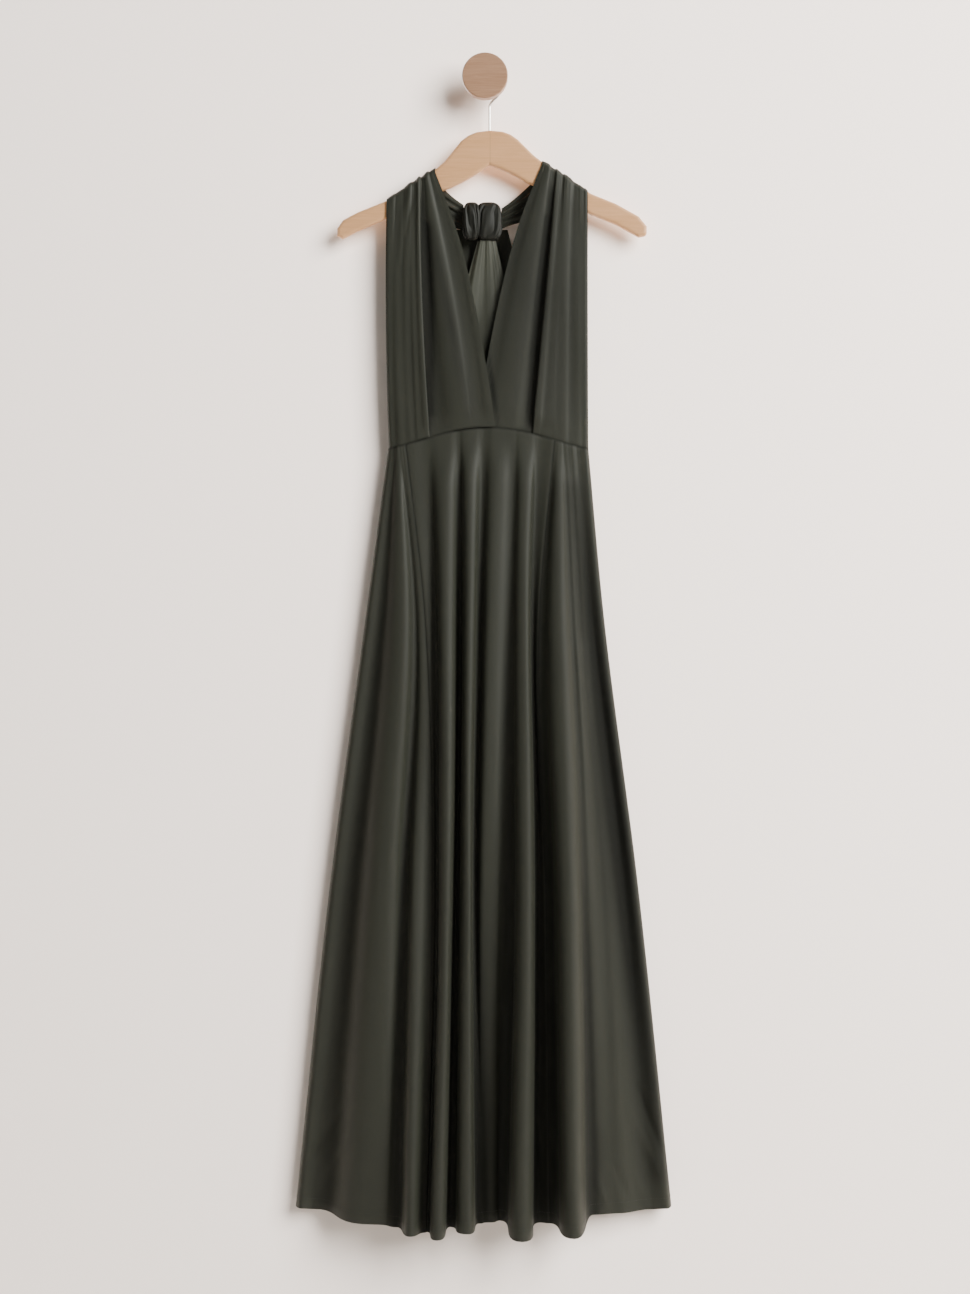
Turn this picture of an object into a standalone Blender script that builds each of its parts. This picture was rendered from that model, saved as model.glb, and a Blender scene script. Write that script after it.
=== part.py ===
"""Floor-length bridesmaid dress with wide gathered straps, on a wooden hanger and a wall peg.

Metres, +Z up. The wall is the plane Y = 0 and everything is in front of it, toward -Y. The origin is the
centre of the peg's back face, where it meets the wall. Tables are in millimetres: x is to the viewer's
right, z is up and "out" is the distance from the wall. The cloth is a thin wall on both sides of a middle
surface. Each fold table has a row for every line where the cloth turns, and the section between two rows
is a smooth S.
"""

import math
from typing import NamedTuple

import bmesh
import bpy
import numpy as np
from mathutils import Vector

MM = 0.001

# Driving sizes, millimetres
SKIRT_WALL = 1.5
STRAP_WALL = 1.0
TAIL_WALL = 1.0
SEAM_GAP = 0.3
WAIST_SEAM_GAP = 0.6

WAIST_SIDE_Z = -503.0
WAIST_RISE = 29.0
WAIST_HALF = 139.0
WAIST_MIDDLE_X = 4.0
WAIST_ARCH_POWER = 1.3
SEAM_OUT = 38.5
SEAM_FLAT_DOWN = 0.06
HIP_DOWN = 0.2
KNEE_DOWN = 0.583
BAND_TOP_SIDE_Z = -415.0
BAND_TOP_DIP = 10.0
BAND_INNER_X = (-70.0, -20.0, 40.0, 88.0)
BAND_INNER_OUT = (15.6, 13.9, 15.6, 14.0)
BAND_BRINK_IN = 8.0
BAND_BRINK_OUT = 16.5

# A strap's front ends at the first share of its length and its arc over the hanger at the second
STRAP_FRONT_END = 0.6
STRAP_CREST_END = 0.72
STRAP_FLAT_SHARE = 0.08
STRAP_STEEP = 0.4
STRAP_LEAVE_DOWN = 42.0
STRAP_ARRIVE_IN = 35.0
STRAP_ARRIVE_DOWN = 22.0
LEFT_STRAP_SEAM_OUT = 40.5
LEFT_STRAP_KNOT_TOP_Z = -167.0
LEFT_STRAP_KNOT_BOTTOM_Z = -203.0
RIGHT_STRAP_SEAM_OUT = 38.0
RIGHT_STRAP_KNOT_TOP_Z = -172.0
RIGHT_STRAP_KNOT_BOTTOM_Z = -200.0

HANGER_MIDDLE_OUT = 28.0
HANGER_THICK = 12.0
HANGER_EDGE_ROUND = 4.0
CREST_ARC_OUT = 7.4
CREST_ARC_UP = 6.3
CREST_ARC_DROP = 5.0

PEG_STEM_RADIUS = 9.0
PEG_DISC_RADIUS = 31.0
PEG_STEM_LENGTH = 45.0
PEG_DISC_THICK = 15.0
PEG_EDGE = 1.2

HOOK_WIRE_RADIUS = 1.6
HOOK_CENTRE_X = 1.0
HOOK_CENTRE_Z = -9.0
HOOK_RADIUS = 20.0
HOOK_FOOT_X = 6.4
HOOK_BEND_Z = -34.0
HOOK_START_ANGLE = -39.5
HOOK_END_ANGLE = 205.0

KNOT_LEFT_X = -29.4
KNOT_RIGHT_X = 22.9
KNOT_BOTTOM_Z = -216.4
KNOT_ENTRY_OUT = 18.0


class SkirtFold(NamedTuple):
    """A line down the skirt where the cloth turns, in millimetres."""

    name: str
    x_waist: float
    x_hip: float
    x_knee: float
    x_hem: float
    out_waist: float
    out_hip: float
    out_hem: float
    hem_z: float
    steep: float
    pinch: float


class StrapFold(NamedTuple):
    """A line along a strap where the cloth turns: x and out at the waist, the chest and the hanger."""

    name: str
    x_waist: float
    x_chest: float
    x_crest: float
    out_waist: float
    out_chest: float
    crest_rise: float
    knot_share: float
    knot_rise: float
    lap: float


class TailFold(NamedTuple):
    """A line down a hanging strap end: x and out at the knot, in the neckline and at its lower end.

    lift is how far above the knot's bottom the line starts, behind the straps.
    """

    name: str
    x_top: float
    x_neck: float
    x_end: float
    out_top: float
    out_neck: float
    out_end: float
    lift: float


class HangerStation(NamedTuple):
    """Upper and lower edge of the hanger at one x."""

    x: float
    top: float
    bottom: float


FRONT_FOLDS = (
    SkirtFold("left side", -132, -160, -213, -259, 28, 26, 18, -1539, 0.0, 0.0),
    SkirtFold("left brink", -127, -154, -205, -250, 35, 34.5, 33, -1540, 0.0, 0.0),
    SkirtFold("left trough", -123, -143, -188, -234, 35.5, 33.5, 28, -1542, 0.2, 0.0),
    SkirtFold("ridge 0", -119, -112, -135, -150, 38.5, 50, 78, -1550, 0.3, -0.8),
    SkirtFold("valley 0", -115, -96, -108, -118.5, 38.5, 37.8, 72, -1555, 0.3, 0.0),
    SkirtFold("ridge 1", -111.5, -88, -95, -100, 38.5, 43.5, 112, -1557, 0.2, -0.3),
    SkirtFold("left seam", -108, -84, -71, -81, 38.5, 42.5, 92, -1557, 0.2, 0.0),
    SkirtFold("valley 1", -80, -69.5, -66, -77.5, 37.5, 39, 88, -1557, 0.4, 0.3),
    SkirtFold("ridge 2", -54, -53.5, -52.5, -63.5, 42, 55, 120, -1560, 0.4, -1.6),
    SkirtFold("valley 2", -36, -34, -39, -47, 37.5, 38.5, 82, -1552, 0.4, 0.4),
    SkirtFold("ridge 3", -21, -21.5, -22, -22.5, 43, 56, 112, -1554, 0.5, -1.6),
    SkirtFold("valley 3", -2, -6, -14, -8.5, 37.5, 38.5, 62, -1553, 0.4, 0.3),
    SkirtFold("ridge 3b", 19, 9.5, 0.5, 6, 42, 50, 60, -1552, 0.4, -0.6),
    SkirtFold("valley A", 40, 34, 32, 21, 38.5, 45, 50, -1552, 0.7, 0.1),
    SkirtFold("ridge 4", 57, 54.5, 56, 49, 42.5, 57, 120, -1562, 0.5, -1.6),
    SkirtFold("valley B", 74, 66, 74, 74, 37, 38, 48, -1555, 0.2, 0.0),
    SkirtFold("right seam", 95, 75, 82, 88, 38.5, 44, 52, -1555, 0.7, 0.1),
    SkirtFold("ridge 5", 100.5, 101, 113, 119, 40.5, 57, 116, -1559, 0.5, -1.2),
    SkirtFold("valley 6", 108, 118, 138, 147, 38, 42, 48, -1544, 0.3, 0.4),
    SkirtFold("right swell", 117, 131, 163, 181, 38, 39, 50, -1543, 0.2, 0.0),
    SkirtFold("right trough", 126, 142, 189, 226, 36, 33.5, 33, -1541, 0.2, 0.0),
    SkirtFold("right brink", 136, 154, 202, 247, 35.5, 35, 34, -1539, 0.0, 0.0),
    SkirtFold("right side", 141, 160, 210, 255, 28, 26, 18, -1538, 0.0, 0.0),
)
LEFT_SEAM_ROW = 6
RIGHT_SEAM_ROW = 16

BACK_FOLDS = (
    SkirtFold("left side", -132, -160, -213, -259, 28, 26, 18, -1539, 0.0, 0.0),
    SkirtFold("left brink", -126, -152, -202, -244, 15, 14.6, 13, -1540, 0.0, 0.0),
    SkirtFold("flute 1", -106, -127, -168, -208, 16.5, 18.2, 25, -1542, 0.5, 0.0),
    SkirtFold("dip 1", -88, -106, -139, -172, 14, 13.8, 13, -1542, 0.5, 0.0),
    SkirtFold("flute 2", -69, -82, -107, -132, 16.5, 18.6, 27, -1543, 0.5, 0.0),
    SkirtFold("dip 2", -48, -58, -76, -94, 14, 13.7, 12.5, -1542, 0.5, 0.0),
    SkirtFold("flute 3", -27, -32, -42, -52, 16.5, 18.4, 26, -1543, 0.5, 0.0),
    SkirtFold("dip 3", -5, -8, -11, -14, 14, 13.7, 12.5, -1542, 0.5, 0.0),
    SkirtFold("flute 4", 16, 18, 22, 28, 16.5, 18.6, 27, -1543, 0.5, 0.0),
    SkirtFold("dip 4", 36, 42, 54, 66, 14, 13.7, 12.5, -1542, 0.5, 0.0),
    SkirtFold("flute 5", 58, 68, 87, 107, 16.5, 18.4, 26, -1543, 0.5, 0.0),
    SkirtFold("dip 5", 80, 92, 119, 146, 14, 13.8, 13, -1542, 0.5, 0.0),
    SkirtFold("flute 6", 104, 120, 154, 188, 16.5, 18.2, 25, -1542, 0.5, 0.0),
    SkirtFold("right brink", 135, 152, 199, 240, 15, 14.6, 13, -1539, 0.0, 0.0),
    SkirtFold("right side", 141, 160, 210, 255, 28, 26, 18, -1538, 0.0, 0.0),
)

LEFT_STRAP_FOLDS = (
    StrapFold("outer edge", -131, -135, -134, 28, 34, 0.0, 1.0, 0.0, 0),
    StrapFold("outer brink", -127, -131, -129, 36, 38.5, 0.8, 0.9, 1.2, 0),
    StrapFold("outer dip", -112, -117, -114, 38, 39, 0.3, 0.79, -1.2, 0),
    StrapFold("swell", -95, -100, -101, 41, 42, 2.5, 0.68, 1.2, 0),
    StrapFold("crease", -88, -95, -95, 40, 40.5, 1.0, 0.57, -1.2, 0),
    StrapFold("pleat lip", -77, -87, -91, 44.3, 44.8, 3.0, 0.46, 1.2, 1.0),
    StrapFold("under pleat", -75, -84.5, -86, 38, 37.4, 0.3, 0.35, -1.2, 0),
    StrapFold("inner swell", -26, -53, -80, 43, 42.5, 2.4, 0.23, 1.2, 0),
    StrapFold("inner dip", -10, -35, -74, 41.5, 39, 0.4, 0.11, -0.8, 0),
    StrapFold("inner edge", 14, -20, -68, 43.5, 40, 0.8, 0.0, 0.4, 0),
)

RIGHT_STRAP_FOLDS = (
    StrapFold("outer edge", 141, 140, 140, 28, 34, 0.0, 1.0, 0.0, 0),
    StrapFold("outer brink", 137, 136, 135, 35, 38, 0.8, 0.88, 1.2, 0),
    StrapFold("outer dip", 122, 121, 123, 35.5, 37.5, 0.4, 0.76, -1.2, 0),
    StrapFold("swell", 103, 106, 112, 41, 42.5, 2.8, 0.63, 1.2, 0),
    StrapFold("crease", 84, 94, 105, 39, 39.5, 1.2, 0.5, -1.2, 0),
    StrapFold("pleat lip", 66, 83, 100, 43.6, 44.2, 2.4, 0.38, 1.2, -1.0),
    StrapFold("under pleat", 64, 80.5, 93, 36.6, 37.4, 0.3, 0.25, -1.2, 0),
    StrapFold("inner swell", 25, 52, 86, 39.3, 41, 2.2, 0.12, 1.2, 0),
    StrapFold("inner edge", -12, 25, 78, 37.6, 38.2, 0.6, 0.0, 0.0, 0),
)
PLEAT_ROW = 5

TAIL_FRONT_FOLDS = (
    TailFold("left edge", -10, -36, -52, 15, 9, 6.4, 0),
    TailFold("ridge 1", -5, -22, -32, 20.5, 12.2, 8.8, 0),
    TailFold("valley 1", 0, -6, -10, 20, 11.8, 6.4, 0),
    TailFold("ridge 2", 5, 10, 12, 21, 12.8, 8.8, 0),
    TailFold("valley 2", 10, 24, 30, 18.5, 10.6, 6.4, 0),
    TailFold("right edge", 15, 36, 48, 16, 9.4, 7.6, 0),
)
TAIL_FRONT_END_Z = -1150.0

TAIL_BACK_FOLDS = (
    TailFold("left edge", -46, -52, -66, 5.0, 3.6, 3.2, 17.5),
    TailFold("ridge 1", -30, -36, -42, 5.1, 4.6, 4.0, 17.5),
    TailFold("valley 1", -8, -8, -8, 5.0, 2.6, 2.4, 17.5),
    TailFold("ridge 2", 12, 22, 26, 5.1, 4.6, 4.0, 17.5),
    TailFold("valley 2", 27, 42, 46, 5.0, 2.6, 2.4, 17.5),
    TailFold("right edge", 38, 60, 68, 5.0, 3.8, 3.4, 17.5),
)
TAIL_BACK_END_Z = -1190.0
TAIL_NECK_DOWN = 0.12
TAIL_FALL_DOWN = 0.04
TAIL_FALL_X_SHARE = 0.6
TAIL_FALL_OUT_SHARE = 0.35
TAIL_STEEP = 0.3

HANGER_STATIONS = (
    HangerStation(-202, -202, -212),
    HangerStation(-194, -190.5, -216.5),
    HangerStation(-174.5, -180, -206),
    HangerStation(-137, -165, -190),
    HangerStation(-100, -141.5, -172),
    HangerStation(-66, -119.5, -153.5),
    HangerStation(-55, -110, -149.5),
    HangerStation(-44, -96.5, -145.5),
    HangerStation(-33, -82.5, -140),
    HangerStation(-23, -75, -134.5),
    HangerStation(-12, -70.3, -128),
    HangerStation(6, -68, -115.5),
    HangerStation(24, -69.5, -122),
    HangerStation(35, -73.5, -127),
    HangerStation(45, -80.5, -132.5),
    HangerStation(56, -91.5, -139),
    HangerStation(66, -101.5, -143),
    HangerStation(78, -111, -147),
    HangerStation(110, -132, -165),
    HangerStation(145, -154.5, -183),
    HangerStation(178.5, -168, -196.5),
    HangerStation(210, -185.5, -214),
    HangerStation(221, -199, -212),
)

# Rows of points along the cloth, as shares of the run named, and steps between two fold lines

SKIRT_DOWN = (0.0, 0.05, 0.12, 0.2, 0.31, 0.44, 0.583, 0.72, 0.86, 1.0)
STRAP_FRONT_UP = (0.0, 0.15, 0.3, 0.45, 0.6, 0.74, 0.86, 0.95, 1.0)
STRAP_CREST_STEPS = 6
STRAP_BACK_STEPS = 5
BAND_DOWN = (0.0, 0.25, 0.5, 0.75, 1.0)
TAIL_DOWN = (0.0, 0.02, 0.04, 0.08, 0.12, 0.2, 0.35, 0.6, 1.0)
FINE_STEPS = 4
COARSE_STEPS = 3
PLEAT_STEPS = 6
LUMP_TURNS = 20
LUMP_LEVELS = 12
HOOK_STEPS = 18
HOOK_BEND_SHARES = (0.33, 0.67)
HOOK_BEND_POWER = 1.6

# Cloth shapes


def ease(share):
    """Goes from 0 to 1, level at both ends."""
    return (1 - np.cos(np.pi * share)) / 2


def through(knots, values, at):
    """A smooth curve through values (a row for each fold) at the knots, read at one place."""
    index = min(max(int(np.searchsorted(knots, at, side="right")) - 1, 0), len(knots) - 2)
    slopes = np.gradient(values, knots, axis=1)
    span = knots[index + 1] - knots[index]
    share = (at - knots[index]) / span
    start = values[:, index]
    end = values[:, index + 1]
    bend_start = slopes[:, index] * span
    bend_end = slopes[:, index + 1] * span
    square = share * share
    cube = square * share
    return (
        (2 * cube - 3 * square + 1) * start
        + (cube - 2 * square + share) * bend_start
        + (3 * square - 2 * cube) * end
        + (cube - square) * bend_end
    )


def through_three(first, middle, last, share):
    """The parabola through three values at 0, 0.5 and 1."""
    return (
        first * (1 - share) * (1 - 2 * share)
        + middle * 4 * share * (1 - share)
        + last * share * (2 * share - 1)
    )


def fold_section(lateral, height, u, steep, pinch, lap, round_first=False, round_last=False):
    """Reads a section at the row places u, and returns the sideways and the outward coordinate.

    Each stretch between two rows is level at both rows. Steep makes its flank upright, pinch narrows
    the turn at a row, and lap, in millimetres, lays one side of the fold over the other. A rounded
    first or last stretch is a quarter of an ellipse, which turns toward the wall.
    """
    last = len(lateral) - 2
    index = np.clip(np.floor(u).astype(int), 0, last)
    share = u - index
    step = lateral[index + 1] - lateral[index]
    narrow = pinch[index] * share * (1 - share) ** 2 + pinch[index + 1] * share**2 * (share - 1)
    wave = np.sin(2 * np.pi * share)
    along = share - narrow + steep[index] * wave / (2 * np.pi)
    side = lateral[index] + step * along + lap[index] * wave
    rise = height[index + 1] - height[index]
    outward = height[index] + rise * ease(share)
    quarter = np.pi / 2 * share
    if round_first:
        side = np.where(index == 0, lateral[index] + step * (1 - np.cos(quarter)), side)
        outward = np.where(index == 0, height[index] + rise * np.sin(quarter), outward)
    if round_last:
        side = np.where(index == last, lateral[index] + step * np.sin(quarter), side)
        outward = np.where(index == last, height[index] + rise * (1 - np.cos(quarter)), outward)
    return side, outward


def columns(rows, *names):
    """The named columns of a fold table as an array with a row for each fold."""
    return np.array([[float(getattr(row, name)) for name in names] for row in rows])


def waist_z(x):
    """Height of the arched waist seam."""
    share = np.clip(np.abs(x - WAIST_MIDDLE_X) / WAIST_HALF, 0, 1)
    return WAIST_SIDE_Z + WAIST_RISE * np.cos(np.pi / 2 * share) ** WAIST_ARCH_POWER


def skirt_surface(folds, arched):
    """Returns point(u, v) for a skirt side: u counts fold rows, v runs from the waist 0 to the hem 1."""
    knots = np.array([0.0, HIP_DOWN, KNEE_DOWN, 1.0])
    across = columns(folds, "x_waist", "x_hip", "x_knee", "x_hem")
    outs = columns(folds, "out_waist", "out_hip", "out_hem")
    out_knots = np.array([0.0, HIP_DOWN, 1.0])
    at_seam = np.minimum(outs[:, 0], SEAM_OUT)
    hem = columns(folds, "hem_z")[:, 0]
    steep = columns(folds, "steep")[:, 0]
    pinch = columns(folds, "pinch")[:, 0]
    no_lap = np.zeros(len(folds))

    def point(u, v):
        lateral = through(knots, across, v)
        full = through(out_knots, outs, v)
        height = at_seam + (full - at_seam) * ease(min(v / SEAM_FLAT_DOWN, 1.0))
        side, outward = fold_section(lateral, height, u, steep * math.sqrt(v), pinch, no_lap, True, True)
        _, hem_here = fold_section(lateral, hem, u, steep, pinch, no_lap)
        top, _ = fold_section(across[:, 0], at_seam, u, no_lap, pinch, no_lap, True, True)
        start = waist_z(top) if arched else np.full_like(u, WAIST_SIDE_Z)
        z = start + (hem_here - start) * v
        return np.stack([side, -outward, z], axis=1)

    return point


def hanger_top(x):
    """Upper edge of the hanger at x."""
    return np.interp(x, [s.x for s in HANGER_STATIONS], [s.top for s in HANGER_STATIONS])


def strap_rows(folds, seam_out, share):
    """x and out of a strap's rows on its front, share running from the waist 0 to the hanger 1.

    At the waist seam no row is farther out than seam_out.
    """
    across = columns(folds, "x_waist", "x_chest", "x_crest")
    outs = columns(folds, "out_waist", "out_chest", "crest_rise")
    crest_out = HANGER_MIDDLE_OUT + CREST_ARC_OUT + outs[:, 2]
    lateral = through_three(across[:, 0], across[:, 1], across[:, 2], share)
    height = through_three(outs[:, 0], outs[:, 1], crest_out, share)
    at_seam = np.minimum(outs[:, 0], seam_out)
    return lateral, at_seam + (height - at_seam) * seam_ease(share)


def seam_ease(share):
    """How far a strap's folds have opened above the waist seam, from 0 to 1."""
    return ease(min(share / STRAP_FLAT_SHARE, 1.0))


def strap_surface(folds, seam_out, knot_x, knot_top, knot_bottom, toward_knot):
    """Returns point(u, v) for a strap: v is 0 at the waist, then over the hanger, and 1 at the knot."""
    crest_x = columns(folds, "x_crest")[:, 0]
    crest_rise = columns(folds, "crest_rise")[:, 0]
    share_at_knot = columns(folds, "knot_share")[:, 0]
    rise_at_knot = columns(folds, "knot_rise")[:, 0]
    lap = columns(folds, "lap")[:, 0]
    steep = np.full(len(folds), STRAP_STEEP)
    pinch = np.zeros(len(folds))
    no_lap = pinch

    def front(u, share):
        lateral, height = strap_rows(folds, seam_out, share)
        over = lap * (1 - share**3) * seam_ease(share)
        x, out = fold_section(lateral, height, u, steep, pinch, over, round_first=True)
        low = waist_z(x) + WAIST_SEAM_GAP / 2
        high = hanger_top(x) - CREST_ARC_DROP
        return np.stack([x, -out, low + (high - low) * share], axis=1)

    def crest(u, share):
        x, rise = fold_section(crest_x, crest_rise, u, steep, pinch, no_lap, round_first=True)
        angle = np.pi * share
        out = HANGER_MIDDLE_OUT + (CREST_ARC_OUT + rise) * np.cos(angle)
        z = hanger_top(x) - CREST_ARC_DROP + (CREST_ARC_UP + rise) * np.sin(angle)
        return np.stack([x, -out, z], axis=1)

    def back(u, share):
        start = crest(u, 1.0)
        across, rise = fold_section(share_at_knot, rise_at_knot, u, steep, pinch, no_lap)
        end = np.stack(
            [
                np.full_like(across, knot_x),
                rise - KNOT_ENTRY_OUT,
                knot_top + (knot_bottom - knot_top) * across,
            ],
            axis=1,
        )
        leave = np.array([0.0, 0.0, -STRAP_LEAVE_DOWN])
        arrive = np.array([STRAP_ARRIVE_IN * toward_knot, 0.0, -STRAP_ARRIVE_DOWN])
        square = share * share
        cube = square * share
        return (
            (2 * cube - 3 * square + 1) * start
            + (cube - 2 * square + share) * leave
            + (3 * square - 2 * cube) * end
            + (cube - square) * arrive
        )

    def point(u, v):
        if v <= STRAP_FRONT_END:
            return front(u, v / STRAP_FRONT_END)
        if v <= STRAP_CREST_END:
            return crest(u, (v - STRAP_FRONT_END) / (STRAP_CREST_END - STRAP_FRONT_END))
        return back(u, (v - STRAP_CREST_END) / (1 - STRAP_CREST_END))

    return point


def band_surface():
    """Returns point(u, v) for the back band, whose side edges follow the straps' outer edges."""
    def edge(folds, z):
        crest = hanger_top(folds[0].x_crest) - CREST_ARC_DROP
        lateral, height = strap_rows(folds, SEAM_OUT, (z - WAIST_SIDE_Z) / (crest - WAIST_SIDE_Z))
        return lateral[0], height[0] - SEAM_GAP

    def point(u, v):
        top = BAND_TOP_SIDE_Z
        bottom = WAIST_SIDE_Z + WAIST_SEAM_GAP / 2
        side_z = top + (bottom - top) * v
        left_x, left_out = edge(LEFT_STRAP_FOLDS, side_z)
        right_x, right_out = edge(RIGHT_STRAP_FOLDS, side_z)
        lateral = np.array([left_x, left_x + BAND_BRINK_IN, *BAND_INNER_X, right_x - BAND_BRINK_IN, right_x])
        height = np.array([left_out, BAND_BRINK_OUT, *BAND_INNER_OUT, BAND_BRINK_OUT, right_out])
        plain = np.zeros(len(lateral))
        x, out = fold_section(lateral, height, u, plain, plain, plain, True, True)
        dip = BAND_TOP_DIP * np.sin(np.pi * u / (len(lateral) - 1)) * (1 - v)
        return np.stack([x, -out, side_z - dip], axis=1)

    return point


def tail_surface(folds, end_z):
    """Returns point(u, v) for a hanging strap end, v running from the knot 0 to the lower end 1."""
    knots = np.array([0.0, TAIL_FALL_DOWN, TAIL_NECK_DOWN, 0.5, 1.0])
    x_top, x_neck, x_end = columns(folds, "x_top", "x_neck", "x_end").T
    out_top, out_neck, out_end = columns(folds, "out_top", "out_neck", "out_end").T
    x_fall = x_neck + (x_top - x_neck) * TAIL_FALL_X_SHARE
    out_fall = out_neck + (out_top - out_neck) * TAIL_FALL_OUT_SHARE
    across = np.column_stack([x_top, x_fall, x_neck, (x_neck + x_end) / 2, x_end])
    height = np.column_stack([out_top, out_fall, out_neck, out_end, out_end])
    plain = np.zeros(len(folds))
    steep = np.full(len(folds), TAIL_STEEP)
    lift = columns(folds, "lift")[:, 0]

    def point(u, v):
        lateral = through(knots, across, v)
        out_rows = through(knots, height, v)
        x, out = fold_section(lateral, out_rows, u, steep, plain, plain)
        _, raised = fold_section(lateral, lift, u, steep, plain, plain)
        top = KNOT_BOTTOM_Z + raised * (1 - v)
        return np.stack([x, -out, top + (end_z - top) * v], axis=1)

    return point


# Meshes


def material(name, colour, roughness, metallic=0.0):
    """A Principled material."""
    made = bpy.data.materials.new(name)
    made.use_nodes = True
    shader = made.node_tree.nodes["Principled BSDF"]
    shader.inputs["Base Color"].default_value = (*colour, 1.0)
    shader.inputs["Roughness"].default_value = roughness
    shader.inputs["Metallic"].default_value = metallic
    return made


def add_object(name, mesh, look, parent):
    """Links a mesh to the scene as a named object of the dress."""
    made = bpy.data.objects.new(name, mesh)
    mesh.materials.append(look)
    made.parent = parent
    bpy.context.scene.collection.objects.link(made)
    return made


def surface_normals(point, us, v, u_end, v_end):
    """Unit normals of point(u, v) by small steps that stay inside the surface."""
    step = 1e-3
    u_low = np.clip(us - step, 0, u_end)
    u_high = np.clip(us + step, 0, u_end)
    v_low = max(v - step, 0.0)
    v_high = min(v + step, v_end)
    normal = np.cross(point(u_high, v) - point(u_low, v), point(us, v_high) - point(us, v_low))
    return normal / np.linalg.norm(normal, axis=1, keepdims=True)


def cloth_wall(name, point, us, vs, wall, u_end, look, parent, seam_start=0.0, seam_end=0.0):
    """Makes a closed cloth wall on the surface point(u, v).

    seam_start and seam_end draw its first and last column back from a seam, by half of the gap there.
    """
    middle = np.array([point(us, v) for v in vs])
    normal = np.array([surface_normals(point, us, v, u_end, 1.0) for v in vs])
    for edge, inner, gap in ((0, 1, seam_start), (-1, -2, seam_end)):
        toward = middle[:, inner] - middle[:, edge]
        middle[:, edge] += toward / np.linalg.norm(toward, axis=1, keepdims=True) * gap
    rows, cols = middle.shape[:2]
    sides = (middle + normal * wall / 2, middle - normal * wall / 2)
    shape = bmesh.new()
    layers = [
        [[shape.verts.new(Vector(side[r, c]) * MM) for c in range(cols)] for r in range(rows)]
        for side in sides
    ]
    for r in range(rows - 1):
        for c in range(cols - 1):
            for grid in layers:
                shape.faces.new((grid[r][c], grid[r][c + 1], grid[r + 1][c + 1], grid[r + 1][c]))
    front, back = layers
    for r in range(rows - 1):
        for c in (0, cols - 1):
            shape.faces.new((front[r][c], front[r + 1][c], back[r + 1][c], back[r][c]))
    for c in range(cols - 1):
        for r in (0, rows - 1):
            shape.faces.new((front[r][c], front[r][c + 1], back[r][c + 1], back[r][c]))
    bmesh.ops.recalc_face_normals(shape, faces=shape.faces[:])
    mesh = bpy.data.meshes.new(name)
    shape.to_mesh(mesh)
    shape.free()
    mesh.shade_smooth()
    return add_object(name, mesh, look, parent)


def rows_of(first, last, steps, fine_row=None):
    """Places between two fold rows, with the same number of steps in each stretch but a fine one."""
    places = np.linspace(first, last, int(round((last - first) * steps)) + 1)
    if fine_row is None:
        return places
    return np.union1d(np.round(places, 6), np.linspace(fine_row, fine_row + 1, PLEAT_STEPS + 1))


def add_skirt(look, parent):
    """The three front panels and the back panel."""
    half = SEAM_GAP / 2
    front = skirt_surface(FRONT_FOLDS, arched=True)
    back = skirt_surface(BACK_FOLDS, arched=False)
    front_end = len(FRONT_FOLDS) - 1
    back_end = len(BACK_FOLDS) - 1
    panels = (
        ("skirt_front_left", 0, LEFT_SEAM_ROW),
        ("skirt_front_centre", LEFT_SEAM_ROW, RIGHT_SEAM_ROW),
        ("skirt_front_right", RIGHT_SEAM_ROW, front_end),
    )
    for name, first, last in panels:
        places = rows_of(first, last, FINE_STEPS)
        cloth_wall(name, front, places, SKIRT_DOWN, SKIRT_WALL, front_end, look, parent, half, half)
    places = rows_of(0, back_end, COARSE_STEPS)
    cloth_wall("skirt_back", back, places, SKIRT_DOWN, SKIRT_WALL, back_end, look, parent, half, half)


def add_straps(look, parent):
    """The two gathered straps and the back band."""
    front_part = np.array(STRAP_FRONT_UP) * STRAP_FRONT_END
    crest_part = np.linspace(STRAP_FRONT_END, STRAP_CREST_END, STRAP_CREST_STEPS + 1)[1:]
    back_part = np.linspace(STRAP_CREST_END, 1, STRAP_BACK_STEPS + 1)[1:]
    along = np.concatenate([front_part, crest_part, back_part])
    left_at_knot = (KNOT_LEFT_X, LEFT_STRAP_KNOT_TOP_Z, LEFT_STRAP_KNOT_BOTTOM_Z)
    right_at_knot = (KNOT_RIGHT_X, RIGHT_STRAP_KNOT_TOP_Z, RIGHT_STRAP_KNOT_BOTTOM_Z)
    left = strap_surface(LEFT_STRAP_FOLDS, LEFT_STRAP_SEAM_OUT, *left_at_knot, 1)
    right = strap_surface(RIGHT_STRAP_FOLDS, RIGHT_STRAP_SEAM_OUT, *right_at_knot, -1)
    for name, folds, surface in (
        ("strap_left", LEFT_STRAP_FOLDS, left),
        ("strap_right", RIGHT_STRAP_FOLDS, right),
    ):
        end = len(folds) - 1
        places = rows_of(0, end, COARSE_STEPS, PLEAT_ROW)
        cloth_wall(name, surface, places, along, STRAP_WALL, end, look, parent)
    end = len(BAND_INNER_X) + 3
    places = rows_of(0, end, FINE_STEPS)
    cloth_wall("back_band", band_surface(), places, BAND_DOWN, SKIRT_WALL, end, look, parent)


def add_tails(look, parent):
    """The two strap ends that hang from the knot."""
    for name, folds, end_z in (
        ("tail_front", TAIL_FRONT_FOLDS, TAIL_FRONT_END_Z),
        ("tail_back", TAIL_BACK_FOLDS, TAIL_BACK_END_Z),
    ):
        end = len(folds) - 1
        surface = tail_surface(folds, end_z)
        cloth_wall(name, surface, rows_of(0, end, FINE_STEPS), TAIL_DOWN, TAIL_WALL, end, look, parent)


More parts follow.
